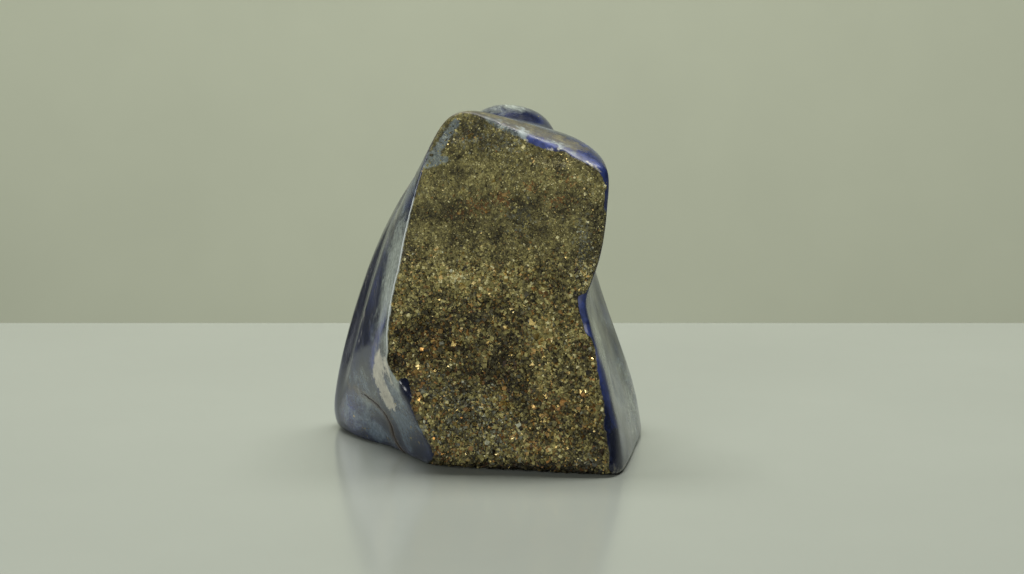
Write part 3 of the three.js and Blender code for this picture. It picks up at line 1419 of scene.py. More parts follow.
@dataclass(frozen=True)
class StoneFinish:
    """The stone's skin: polished lapis that gives way to the raw crust.

    Args:
        calcite: Colour of veins and white patches.
        stained: Colour of the brown stain along the crack.
        fringe: Colour of the thin rim between blue and crust.
        fleck: Colour of the golden flecks.
        bump: Strength of the crust's grit.
    """

    calcite: Triple = (0.58, 0.55, 0.46)
    stained: Triple = (0.120, 0.088, 0.050)
    fringe: Triple = (0.330, 0.390, 0.390)
    fleck: Triple = (0.50, 0.38, 0.16)
    bump: float = 0.8

    def material(self) -> bpy.types.Material:
        """Makes the material.

        Returns:
            The material.
        """
        made, board, shader = blank_material("lapis with raw crust")
        place = board.millimetres()
        jitter = board.maths("SUBTRACT", board.noise(place, 1.3, 5.0, 0.7), 0.5)
        edge = board.plus(board.field("crust"), jitter, 0.9)
        crust = board.remap(edge, (-0.10, 0.12))

        blues = board.effect(LapisBlues().tree(), Place=place, Royal=board.field("royal"),
                             Denim=board.field("denim"), Mist=board.field("painted_sheen"), Navy=board.field("navy"))
        veins = board.effect(CalciteVeins().tree(), Place=place, Pale=board.field("pale"))
        flecks = board.effect(PyriteFlecks().tree(), Place=place)
        wear = board.effect(PolishWear().tree(), Place=place)
        grit = board.effect(CrustGrit().tree(), Place=place, Tone=board.field("tone"), Depth=board.field("depth"),
                            Gold=board.field("gold"), Rust=board.field("rust"), Grey=board.field("grey"),
                            Ash=board.field("ash"))

        chalk = board.remap(veins.outputs["Cloud"], (0.3, 0.7), (0.6, 1.2), ease=False)
        speck = board.remap(board.noise(place, 0.7, 4.0, 0.7), (0.58, 0.68), (0.0, 0.85))
        white = board.blend(speck, board.scaled(self.calcite, chalk), self.stained)
        polished = board.blend(veins.outputs["Mask"], blues.outputs["Color"], white)
        fleck = flecks.outputs["Mask"]
        polished = board.blend(fleck, polished, self.fleck)
        plain = board.remap(board.plus(board.field("royal"), jitter, 0.8),
                            (0.45, 0.75), (1, 0))
        worn = board.plus(board.field("stain"), jitter, 1.6)
        stain = board.maths("MULTIPLY", board.remap(worn, (0.30, 0.72)), plain)
        polished = board.blend(stain, polished, board.scaled(grit.outputs["Color"], 0.35))
        ragged = board.plus(board.field("fringe"), jitter, 1.3)
        fringe = board.maths("MULTIPLY", board.remap(ragged, (0.40, 0.85)), plain)
        polished = board.blend(fringe, polished, board.scaled(self.fringe, chalk))
        # A thin pale line along the crust's left edge: partly calcite, partly a painted highlight where the
        # rounded rim catches the light.
        along = board.plus(edge, jitter, -0.6)
        line = board.maths("MULTIPLY", board.remap(along, (-0.75, -0.45)),
                           board.remap(board.field("edge_highlight_and_calcite"), (0.3, 0.7), (0.0, 0.8)))
        polished = board.blend(line, polished, (0.46, 0.50, 0.47))
        crack = board.remap(board.plus(board.field("crack"), jitter, 0.5),
                            (0.10, 0.42), (1, 0))
        halo = board.remap(board.plus(board.field("crack"), jitter, 3.0),
                           (0.2, 1.4), (0.55, 0))
        polished = board.blend(halo, polished, self.stained)
        polished = board.blend(crack, polished, (0.022, 0.015, 0.009))
        board.feed(shader.inputs["Base Color"], board.blend(crust, polished, grit.outputs["Color"]))

        softer = board.maths("MAXIMUM", veins.outputs["Mask"], board.maths("MULTIPLY", halo, 0.8))
        softer = board.maths("MAXIMUM", softer, board.maths("MULTIPLY", stain, 1.8))
        softer = board.maths("MAXIMUM", softer, board.maths("MULTIPLY", board.field("fringe"), 2.5))
        softer = board.maths("MAXIMUM", softer, board.field("royal"))
        rough = board.plus(wear.outputs["Roughness"], softer, 0.20)
        rough = board.between(crack, rough, 0.8)
        board.feed(shader.inputs["Roughness"], board.between(crust, rough, grit.outputs["Roughness"]))
        board.feed(shader.inputs["Metallic"], board.between(
            crust, board.maths("MULTIPLY", fleck, 0.95), grit.outputs["Metal"]))
        shader.inputs["IOR"].default_value = 1.52

        sunk = board.plus(board.plus(wear.outputs["Height"], crack, -6.0), fleck, -0.6)
        smooth = board.bump(0.10, 0.00008, board.between(crust, sunk, 0.0))
        raw = board.between(crust, 0.0, grit.outputs["Height"])
        board.feed(shader.inputs["Normal"], board.bump(self.bump, 0.00035, raw, smooth))
        return made


@dataclass(frozen=True)
class GrainFinish:
    """The crystals that sit in the crust: dull olive ones and bright golden ones.

    Args:
        bright: Roughness of a clean pyrite face.
        dull: Roughness of a weathered one.
    """

    bright: float = 0.36
    dull: float = 0.62

    def material(self) -> bpy.types.Material:
        """Makes the material.

        Returns:
            The material.
        """
        made, board, shader = blank_material("pyrite grains")
        place = board.millimetres()
        tarnish = board.noise(place, 0.5, 4.0, 0.7)
        uneven = board.maths("MULTIPLY", board.maths("SUBTRACT", tarnish, 0.5), 0.7)
        tone = board.maths("ADD", board.field("tone"), uneven, clamp=True)
        olive = board.ramp(tone, (
            (0.00, (0.014, 0.012, 0.006)),
            (0.25, (0.080, 0.069, 0.031)),
            (0.50, (0.262, 0.230, 0.086)),
            (0.75, (0.530, 0.468, 0.180)),
            (1.00, (0.860, 0.800, 0.460)),
        ))
        golden = board.ramp(tone, (
            (0, (0.160, 0.110, 0.035)),
            (0.5, (0.560, 0.420, 0.160)),
            (1, (0.900, 0.740, 0.360)),
        ))
        amber = board.ramp(tone, (
            (0, (0.036, 0.016, 0.005)),
            (0.5, (0.400, 0.195, 0.052)),
            (1, (0.850, 0.530, 0.180)),
        ))
        slate = board.ramp(tone, (
            (0, (0.018, 0.018, 0.014)),
            (0.5, (0.220, 0.226, 0.170)),
            (1, (0.760, 0.780, 0.600)),
        ))
        colour = board.blend(board.field("gold"), olive, golden)
        colour = board.blend(board.field("rust"), colour, amber)
        colour = board.blend(board.field("grey"), colour, slate)
        board.feed(shader.inputs["Base Color"], colour)
        metal = board.field("gold")
        board.feed(shader.inputs["Metallic"], board.maths("MULTIPLY", metal, 0.9))
        worn = board.remap(tarnish, (0.35, 0.7), (-0.06, 0.14), ease=False)
        board.feed(shader.inputs["Roughness"],
                   board.maths("ADD", board.between(metal, self.dull, self.bright), worn))
        board.feed(shader.inputs["Normal"], board.bump(0.35, 0.0001, tarnish))
        return made


@dataclass(frozen=True)
class StageFinish:
    """A plain painted surface of the stage.

    Args:
        name: What it covers.
        colour: Its colour.
        roughness: Its roughness.
        gloss: How strongly it mirrors.
    """

    name: str
    colour: Triple
    roughness: float
    gloss: float

    def material(self) -> bpy.types.Material:
        """Makes the material.

        Returns:
            The material.
        """
        made, board, shader = blank_material(self.name)
        cloud = board.remap(board.noise(board.millimetres(), 60.0, 3.0), (0.3, 0.7), (0.98, 1.02), ease=False)
        board.feed(shader.inputs["Base Color"], board.scaled(self.colour, cloud))
        shader.inputs["Roughness"].default_value = self.roughness
        shader.inputs["Specular IOR Level"].default_value = self.gloss
        return made


# Pieces


@dataclass
class StoneSkin:
    """The stone itself: polished sides, flat base and the crust with its grain relief.

    Args:
        form: The stone's form.
        rows: Rows of triangles in each twentieth of the net.
        evening: How often the net is evened out.
        inset: How far the crust's grains are set back, in millimetres.
        onset: Where the grains start and where they are at full height, past the crust's edge.
        groove: How deep the crack is.
        groove_width: Half its width.
        clear: How far the skin and the grains stay inside the solid's box.
        levels: How often the net is made finer on the crust.
        fine_beyond: How far past the crust's edge the net is fine.
        fine_crack: How near the crack it is fine.
        fine_bend: From what bend it is finer, as 1 minus the cosine.
        base_height: Below what height it stays coarse.
        plain_tone: The crust's tone where it is flat.
        painted_hollow_shade: How much painted shade darkens it for each millimetre that it is sunk.
        painted_swell_light: How much painted light lightens it for each millimetre that it is proud.
        crack: The crack that runs down the lower left side.
        exposed: Where polished blue cuts into the crust's edge.
        royal: Where the blue is deep and clear.
        navy: Where it is nearly black.
        denim: Where it is chalky.
        painted_sheen: Where painted sheen and reflection turn the polish nearly white.
        pale: Where calcite shows.
        fringe: Where a ragged pale rim parts the blue from the crust.
        edge_highlight_and_calcite: Where a thin white line runs along the crust's left edge, partly calcite and
            partly a painted highlight on its rim.
        stain: Where the polish next to the crust is stained olive.
        ash: Where the crust is weathered to blue grey.
        gold: Where the crust holds more golden grains.
        rust: Where it holds more amber ones.
        grey: Where it holds more grey ones.
        painted_shade: Where painted shade darkens the crust: in its hollows and pits, under its swells, along its
            undercut foot and over its lower part.
        light: Where painted light lies on the crust: its top swell, its crest and two places on its right.
        blotches: Size and strength of the patches that its tone wanders in.
        coarse: The larger grains of its relief.
        small: The smaller ones.
        finish: The skin's finish.
        shift: How far the form is moved onto the solid; found while building.
    """

    form: StoneForm = field(default_factory=StoneForm)
    rows: int = 46
    evening: int = 8
    inset: float = 0.18
    onset: tuple[float, float] = (-0.1, 0.5)
    groove: float = 0.35
    groove_width: float = 0.42
    clear: float = 0.01
    levels: int = 2
    fine_beyond: float = 0.7
    fine_crack: float = 1.2
    fine_bend: float = 0.02
    base_height: float = 0.04
    plain_tone: float = 0.51
    painted_hollow_shade: float = 0.07
    painted_swell_light: float = 0.03
    crack: Streak = Streak((
        (-26.7, 2, 10.9), (-23.5, -6.1, 9.9), (-20.8, -11.3, 8.8), (-19.3, -13.4, 7.4), (-18.3, -13.9, 5.5),
        (-18, -13.1, 3.8), (-17.5, -12.9, 2.3), (-16.6, -13.7, 1.1), (-15.5, -14.7, 0.2),
    ), 1.0)
    exposed: tuple[Region, ...] = (
        Streak(((7, -23.3, 61.2), (9, -23.7, 60), (10.5, -24, 59.5), (12.5, -24.3, 59.3)), 0.9, 1.8),
        Streak(((15.6, -24.5, 59.6), (17.4, -24.8, 58.6), (19, -25.2, 57.2), (20.7, -25.4, 55.7),
                (21.8, -25, 53)), 0.8, 1.6),
        Streak(((21.9, -25.2, 50.8), (22, -25.1, 49.5), (21.9, -25.3, 48.3)), 0.8, 1.6),
        Streak(((-14.9, -26.9, 16.5), (-14.7, -27.1, 15.2), (-14.6, -27.3, 13.9)), 0.95, 2.4),
        Streak(((16.9, -28.9, 32), (17.6, -29.2, 29), (18.3, -29.4, 26.4)), 1, 1.9),
        Streak(((23.4, -32.2, 6), (23.8, -32.5, 4), (23.4, -32.8, 1.6)), 1.1, 2.2),
    )
    royal: tuple[Region, ...] = (
        Streak(((7.8, -23.4, 60.6), (9, -23.7, 59.7), (10.5, -24, 59.2), (12.3, -24.3, 59.1)), 0.9, 1.25),
        Streak(((16, -24.6, 59), (17.4, -24.8, 58.2), (19, -25.2, 56.8), (20.8, -25.4, 55),
                (21.7, -25, 52.8)), 0.95, 1.2),
        Streak(((21.8, -25.2, 50.8), (21.8, -25.1, 48.3)), 1, 0.9),
        Streak(((-18.4, -20.4, 31.4), (-19.2, -20.3, 27.7), (-19.9, -19.3, 24.7), (-20.6, -17.8, 21.7),
                (-21.6, -15.2, 18)), 1.3, 1.1),
        Streak(((16.8, -28.9, 31.6), (18.3, -29.4, 26.2), (19.3, -29.8, 22.6), (20.5, -30.1, 18.9),
                (21.6, -29.9, 14.4)), 1.5, 1.1),
        Streak(((21.6, -29.9, 14.4), (23.4, -29.4, 8.8)), 0.8, 0.6),
    )
    navy: tuple[Region, ...] = (
        Streak(((-17.6, 4, 49), (-21.4, 4, 39.6), (-24, 4, 32.8), (-25.8, 4, 27.3), (-27.2, 4, 22.1),
                (-28.6, 4, 17), (-30.2, 4, 11), (-30.8, 4, 6)), 2.6, 1.1),
        Streak(((-14.7, -26.9, 16.5), (-14.6, -27.1, 15.2), (-14.5, -27.3, 13.9)), 1.6, 1.1),
        Streak(((23.6, -31.4, 7), (24, -31.8, 4.4), (23.4, -31.8, 1)), 1.8, 1.2),
    )
    denim: tuple[Region, ...] = (
        Patch((-24, -5, 7), (9, 12, 9), 0.7),
        Patch((-16.5, -24, 9), (4, 7, 9), 1.1),
        Streak(((-23.2, -4.4, 5.6), (-20.8, -6.7, 2.9)), 1.6, 0.4),
        Streak(((-27.2, 2.4, 3.5), (-28.3, 4.6, 7)), 1.6, 0.4),
        Patch((2, -10, 64), (14, 12, 5), 0.3),
        Patch((26, -5, 12), (7, 22, 16), 0.7),
        Patch((-14, -12, 44), (4, 12, 14), 0.5),
    )
    # Painted sheen and reflection: the hump's top, the pale left and right flanks and the facets by the crack;
    # the last streak takes some away.
    painted_sheen: tuple[Region, ...] = (
        Patch((21, -21, 23), (4, 7, 13), 0.75),
        Patch((28, -2, 8), (5, 14, 12), 0.6),
        Patch((-17.5, -26.6, 11), (1.8, 3, 8), 0.8),
        crust_patch(-17, -18, 32, 3.6, 16, 1.15),
        Patch((-23, -8, 10), (4, 10, 8), 0.35),
        Patch((4, 9, 67), (9, 8, 4), 0.95),
        Streak(((19.3, -18.4, 28.3), (20.6, -14.2, 25.3), (21.7, -11.6, 22.6)), 1.4, -0.8),
    )
    pale: tuple[Region, ...] = (
        Streak(((-20, -19.6, 19), (-20.4, -17.4, 16), (-19.6, -17.6, 13.4), (-18.6, -18.4, 11.2)), 2.3, 0.95),
        Streak(((-18.1, -25.7, 23), (-18.6, -23.6, 18), (-17.6, -24.6, 13), (-16, -24.6, 8)), 0.9, 0.5),
        Streak(((6.2, -23.2, 61.6), (8.2, -23.8, 59), (10.6, -24.3, 58.4), (13.4, -24.4, 59)), 0.6, 0.55),
        Streak(((20.3, -25.6, 54.8), (17.5, -25.3, 57.2)), 0.5, 0.6),
    )
    fringe: tuple[Region, ...] = (
        Streak(((6.1, -23.2, 61.2), (8.9, -23.9, 59.2), (11, -24.1, 59.2), (14.1, -24.3, 59.6)), 1.5, 0.8),
        Streak(((16, -24.8, 58), (19.3, -25.4, 55.8), (21, -25.6, 52.8)), 1.2, 0.5),
        Streak(((20.8, -25.6, 51.2), (20.7, -25.7, 48)), 1.6, 0.9),
        Streak(((-17.2, -26, 17), (-15.4, -27.1, 11), (-13.7, -27.7, 6)), 0.6, 0.45),
        Streak(((2, -21.5, 64.2), (6, -21.8, 63), (11, -22.4, 61.4), (15, -23, 60.4)), 0.7, 0.6),
    )
    # Partly calcite, partly a painted highlight along the crust's rounded left rim.
    edge_highlight_and_calcite: tuple[Region, ...] = (
        Streak(((-13.6, -22.9, 48), (-15.2, -23.6, 42), (-16.4, -24.1, 33.9), (-17.6, -25, 26.6),
                (-18.3, -25.5, 20.7)), 2, 1),
    )
    stain: tuple[Region, ...] = (
        Patch((-8.5, -20, 61.5), (3.5, 4.5, 5), 1),
        Patch((-2, -19.5, 65), (7, 4, 2.5), 1),
        Patch((7, -20.5, 62.6), (7, 3.4, 2.2), 0.9),
        Patch((17, -22, 60.4), (6, 3.2, 2.6), 1),
        Patch((22.4, -22.6, 53), (1.8, 2, 5), 0.6),
        Patch((23, -22.6, 45), (1.8, 2, 4), 0.6),
    )
    ash: tuple[Region, ...] = (
        Streak(((-5.7, -21.5, 63.3), (-7.5, -21.5, 61.1), (-8.5, -21.7, 59.1), (-10.3, -21.8, 56.9)), 1, 1),
        Streak(((-10.9, -21.9, 55.6), (-7.7, -22.1, 56.7)), 0.8, 1),
        Streak(((-0.2, -22, 64.2), (1.6, -22.3, 63.3), (2.9, -22.6, 62.4), (4.5, -22.9, 61.9), (6, -23.1, 61.2)),
               0.8, 0.75),
        Streak(((2, -20.5, 64.4), (6, -20.8, 63.4), (10, -21, 62.4), (14, -22, 61)), 0.9, 0.4),
        Patch((-11.4, -27.4, 15.9), (1.5, 3, 1.5), 0.35),
        Patch((-7, -28.8, 12), (3, 3, 2.5), 0.25),
        Patch((-10, -29, 6.4), (2, 3, 2), 0.35),
        Patch((18.6, -32.4, 2.2), (3, 3, 0.9), 0.5),
        Patch((-5, -30, 2.4), (5, 3, 0.9), 0.35),
    )
    gold: tuple[Region, ...] = (
        crust_patch(1, -29, 27.5, 5, 3, 0.6),
        crust_patch(9.2, -29, 24, 4, 5, 0.7),
        crust_patch(10, -30, 12, 8, 7, 0.6),
        crust_patch(-10, -30, 22, 5, 4, 0.5),
        crust_patch(19, -30, 10, 3, 5, 0.7),
        crust_patch(-11.5, -30, 10.5, 3, 4, 0.6),
        crust_patch(0, -27, 36, 16, 4, 0.4),
        crust_patch(0, -25, 60, 6, 3, 0.2),
    )
    rust: tuple[Region, ...] = (
        crust_patch(2.6, -24.3, 49.6, 1.4, 2, 0.6),
        crust_patch(-1.6, -24, 48.6, 2.8, 1.5, 0.4),
        crust_patch(7.9, -24.7, 51.7, 1.3, 0.9, 0.7),
        crust_patch(14.4, -25, 53, 3, 1.4, 0.35),
        crust_patch(13.4, -25.6, 49.4, 3.4, 1.6, 0.4),
        crust_patch(-4.8, -24, 46.6, 2.4, 1.4, 0.3),
        crust_patch(-9, -29, 23.4, 4.5, 2.2, 0.4),
        crust_patch(-14, -27, 18.4, 2.2, 1.8, 0.45),
        crust_patch(-12.9, -27.7, 12.9, 1.2, 2, 0.7),
        crust_patch(2.8, -29.4, 13.3, 1.6, 1.6, 0.5),
        crust_patch(12, -30.8, 12.2, 2.6, 2.2, 0.5),
        crust_patch(-6, -29.4, 4.6, 3, 1.4, 0.35),
        crust_patch(9, -31, 6, 6, 2.4, 0.25),
    )
    grey: tuple[Region, ...] = (
        crust_patch(-1.5, -31, 11, 5.5, 4, 0.6),
        crust_patch(-6.5, -31, 14, 3.5, 4, 0.6),
        crust_patch(-11.4, -28, 15.5, 2, 2.4, 0.6),
        crust_patch(-10, -29, 6.4, 2.6, 2.4, 0.5),
        crust_patch(2, -31, 7.5, 4, 2.4, 0.5),
        crust_patch(0.5, -31, 4, 5, 1.6, 0.5),
        crust_patch(18.6, -31, 2.4, 3.4, 1.3, 0.7),
        crust_patch(6.5, -25, 45.5, 3, 2.5, 0.35),
        crust_patch(17.4, -27, 40, 1.4, 7, 0.6),
        crust_patch(1, -22, 61, 9, 2.6, 0.45),
    )
    # Painted shade on the crust: its hollows and pits, the bands under its swells and crest, its lower part, and
    # a painted shadow along its undercut foot.
    painted_shade: tuple[Region, ...] = (
        crust_patch(-13, -27, 24.5, 4.5, 3.4, 0.20),
        crust_patch(-3, -26, 29.4, 8, 2.4, 0.12),
        crust_patch(3, -27.5, 21, 6.5, 5.5, 0.12),
        crust_patch(-16.8, -26, 20.2, 1.5, 1.5, 0.45),
        crust_patch(4, -24, 46.6, 12, 2.8, 0.06),
        crust_patch(-3, -22, 61.6, 3.4, 1.7, 0.14),
        crust_patch(-14, -25, 38, 2, 10, 0.05),
        crust_patch(13.4, -27, 34.6, 2.2, 3.6, 0.16),
        crust_patch(5, -31, 1.4, 20, 2, 0.20),
        crust_patch(20.5, -32, 6, 2.4, 3.4, 0.16),
        crust_patch(3, -29, 9, 15, 10, 0.11),
        crust_patch(14, -30.5, 10, 7, 9, 0.13),
        crust_patch(-9, -28.6, 8, 6, 7, 0.06),
        Patch((4, -30, 0), (24, 5, 2), 0.40),
    )
    # Painted light on the crust: its top swell, its crest and two places on its right, lighter as if lit from
    # above.
    light: tuple[Region, ...] = (
        crust_patch(3, -24, 56, 14, 4.6, 0.05),
        crust_patch(-2, -26, 35.6, 16, 2.6, 0.06),
        crust_patch(14.5, -29, 24, 3.4, 7, 0.06),
        crust_patch(15, -26, 44, 4, 3, 0.04),
    )
    blotches: tuple[tuple[float, float], ...] = ((3.6, 0.12), (1.7, 0.12))
    coarse: GrainRelief = GrainRelief(1.15, 0.28, 0.40, 0.16, 3)
    small: GrainRelief = GrainRelief(0.56, 0.17, 0.28, 0.13, 5)
    finish: StoneFinish = StoneFinish()
    shift: Triple = (0.0, 0.0, 0.0)

    def crust_field(self, points: np.ndarray) -> np.ndarray:
        """Tells how far inside the crust points are.

        Args:
            points: Points on the stone, in millimetres.

        Returns:
            Above nought on the crust, below it on the polished sides.
        """
        return np.clip(-self.form.rim_gap(points) - strength(self.exposed, points), -3.0, 3.0)

    def tone_with_painted_shade_and_light(self, points: np.ndarray) -> np.ndarray:
        """Tells how light the crust is, its painted shade and painted light included.

        Args:
            points: Points on the stone, in millimetres.

        Returns:
            The tone at each point, from 0 to 1.
        """
        x, z = points[:, 0], points[:, 2]
        relief = self.form.relief(x, z)
        sunk, proud = np.clip(-relief, 0.0, 3.0), np.clip(relief, 0.0, 1.5)
        # Painted shade in the crust's hollows and painted light on its swells.
        tone = self.plain_tone - sunk * self.painted_hollow_shade + proud * self.painted_swell_light
        lower = 0.6 + 0.4 * towards_foot(points, 46.0, 32.0)
        for cell, share in self.blotches:
            tone += share * lattice_noise(x / cell + 5.3, z / cell) * lower
        # Painted light and painted shade from the listed regions are added here.
        return np.clip(tone + strength(self.light, points) - strength(self.painted_shade, points), 0.0, 1.0)

    def net(self) -> Net:
        """Lays the net over the stone, fine on the crust and along edges.

        Returns:
            The net, without the crust's grains.
        """
        net = Net.ball(self.rows).evened(self.form, self.evening)
        for level in range(self.levels):
            middles = net.middles()
            wanted = self.crust_field(middles) > -self.fine_beyond
            wanted |= self.crack.distance(middles) < self.fine_crack
            if level == 0:
                wanted |= net.bends() > self.fine_bend
            wanted &= middles[:, 2] > self.base_height
            net = net.refined(self.form, wanted)
        return net

    def build(self) -> tuple[bpy.types.Object, Net]:
        """Makes the skin.

        Returns:
            The object, and its net with the crust's grains.
        """
        net = self.net()
        low, high = net.points.min(0), net.points.max(0)
        middle = np.mean(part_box(NODE), axis=0) / MM
        self.shift = (float(middle[0] - (low[0] + high[0]) / 2), float(middle[1] - (low[1] + high[1]) / 2), 0.0)
        smooth = self.form.normals(net.points)
        inside = self.crust_field(net.points)
        crust = smooth_step(inside, *self.onset)
        lower = 0.55 + 0.55 * towards_foot(net.points, 44.0, 33.0)
        grains = (self.coarse.at(net.points) + self.small.at(net.points)) * lower
        cleft = self.crack.distance(net.points)
        groove = self.groove * smooth_step(-cleft, -self.groove_width, -0.05) * (1 - crust)
        moved = net.points + smooth * (crust * (grains - self.inset) - groove)[:, None]
        grained = Net(self.inside_box(moved), net.triangles)
        made = grained.to_object("freeform_stone", self.shift, smooth=True)
        made.data.materials.append(self.finish.material())
        self.set_normals(made, smooth, crust + groove * 3)
        write_field(made, "crust", inside)
        write_field(made, "crack", np.minimum(cleft, 4.0))
        write_field(made, "depth", grains)
        # The crust's tone, carrying its painted shade and painted light.
        write_field(made, "tone", self.tone_with_painted_shade_and_light(net.points))
        for name in ("royal", "navy", "edge_highlight_and_calcite", "denim", "painted_sheen", "pale", "fringe", "stain", "ash", "gold", "rust",
                     "grey"):
            write_field(made, name, np.clip(strength(getattr(self, name), net.points), 0.0, 1.2))
        return made, grained

    def inside_box(self, points: np.ndarray) -> np.ndarray:
        """Keeps points inside the solid's box.

        Args:
            points: Points in millimetres, before they are moved onto the solid.

        Returns:
            The points, none of them outside.
        """
        low, high = np.array(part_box(NODE)) / MM - np.array(self.shift)
        return np.clip(points, low + self.clear, high - self.clear)

    def set_normals(self, made: bpy.types.Object, smooth: np.ndarray, rough: np.ndarray) -> None:
        """Shades the polished sides by the form's own normals, and the rest by the mesh's.

        Args:
            made: The skin's object.
            smooth: The form's normal at each point.
            rough: How far each point takes the mesh's normal instead, from 0.
        """
        own = np.zeros(len(made.data.vertices) * 3, np.float32)
        made.data.vertices.foreach_get("normal", own)
        share = np.clip(rough, 0.0, 1.0)[:, None]
        mixed = smooth * (1.0 - share) + own.reshape(-1, 3) * share
        mixed /= np.linalg.norm(mixed, axis=1, keepdims=True)
        made.data.normals_split_custom_set_from_vertices(mixed.tolist())


class Crystal(Enum):
    """The shapes that pyrite grains take here, as corners of a solid one unit wide."""

    CUBE = "cube"
    WEDGE = "wedge"

    def corners(self) -> np.ndarray:
        """Gives the shape's corners.

        Returns:
            Eight corners.
        """
        cube = np.array([(x, y, z) for x in (-0.5, 0.5) for y in (-0.5, 0.5) for z in (-0.5, 0.5)])
        if self is Crystal.CUBE:
            return cube
        tapered = cube.copy()
        tapered[cube[:, 2] > 0, :2] *= TAPER
        return tapered

    @staticmethod
    def faces() -> np.ndarray:
        """Gives the triangles that join the corners.

        Returns:
            Twelve triangles, seen from outside anticlockwise.
        """
        return np.array(
            [(0, 1, 3), (0, 3, 2), (4, 6, 7), (4, 7, 5), (0, 4, 5), (0, 5, 1),
             (2, 3, 7), (2, 7, 6), (0, 2, 6), (0, 6, 4), (1, 5, 7), (1, 7, 3)]
        )


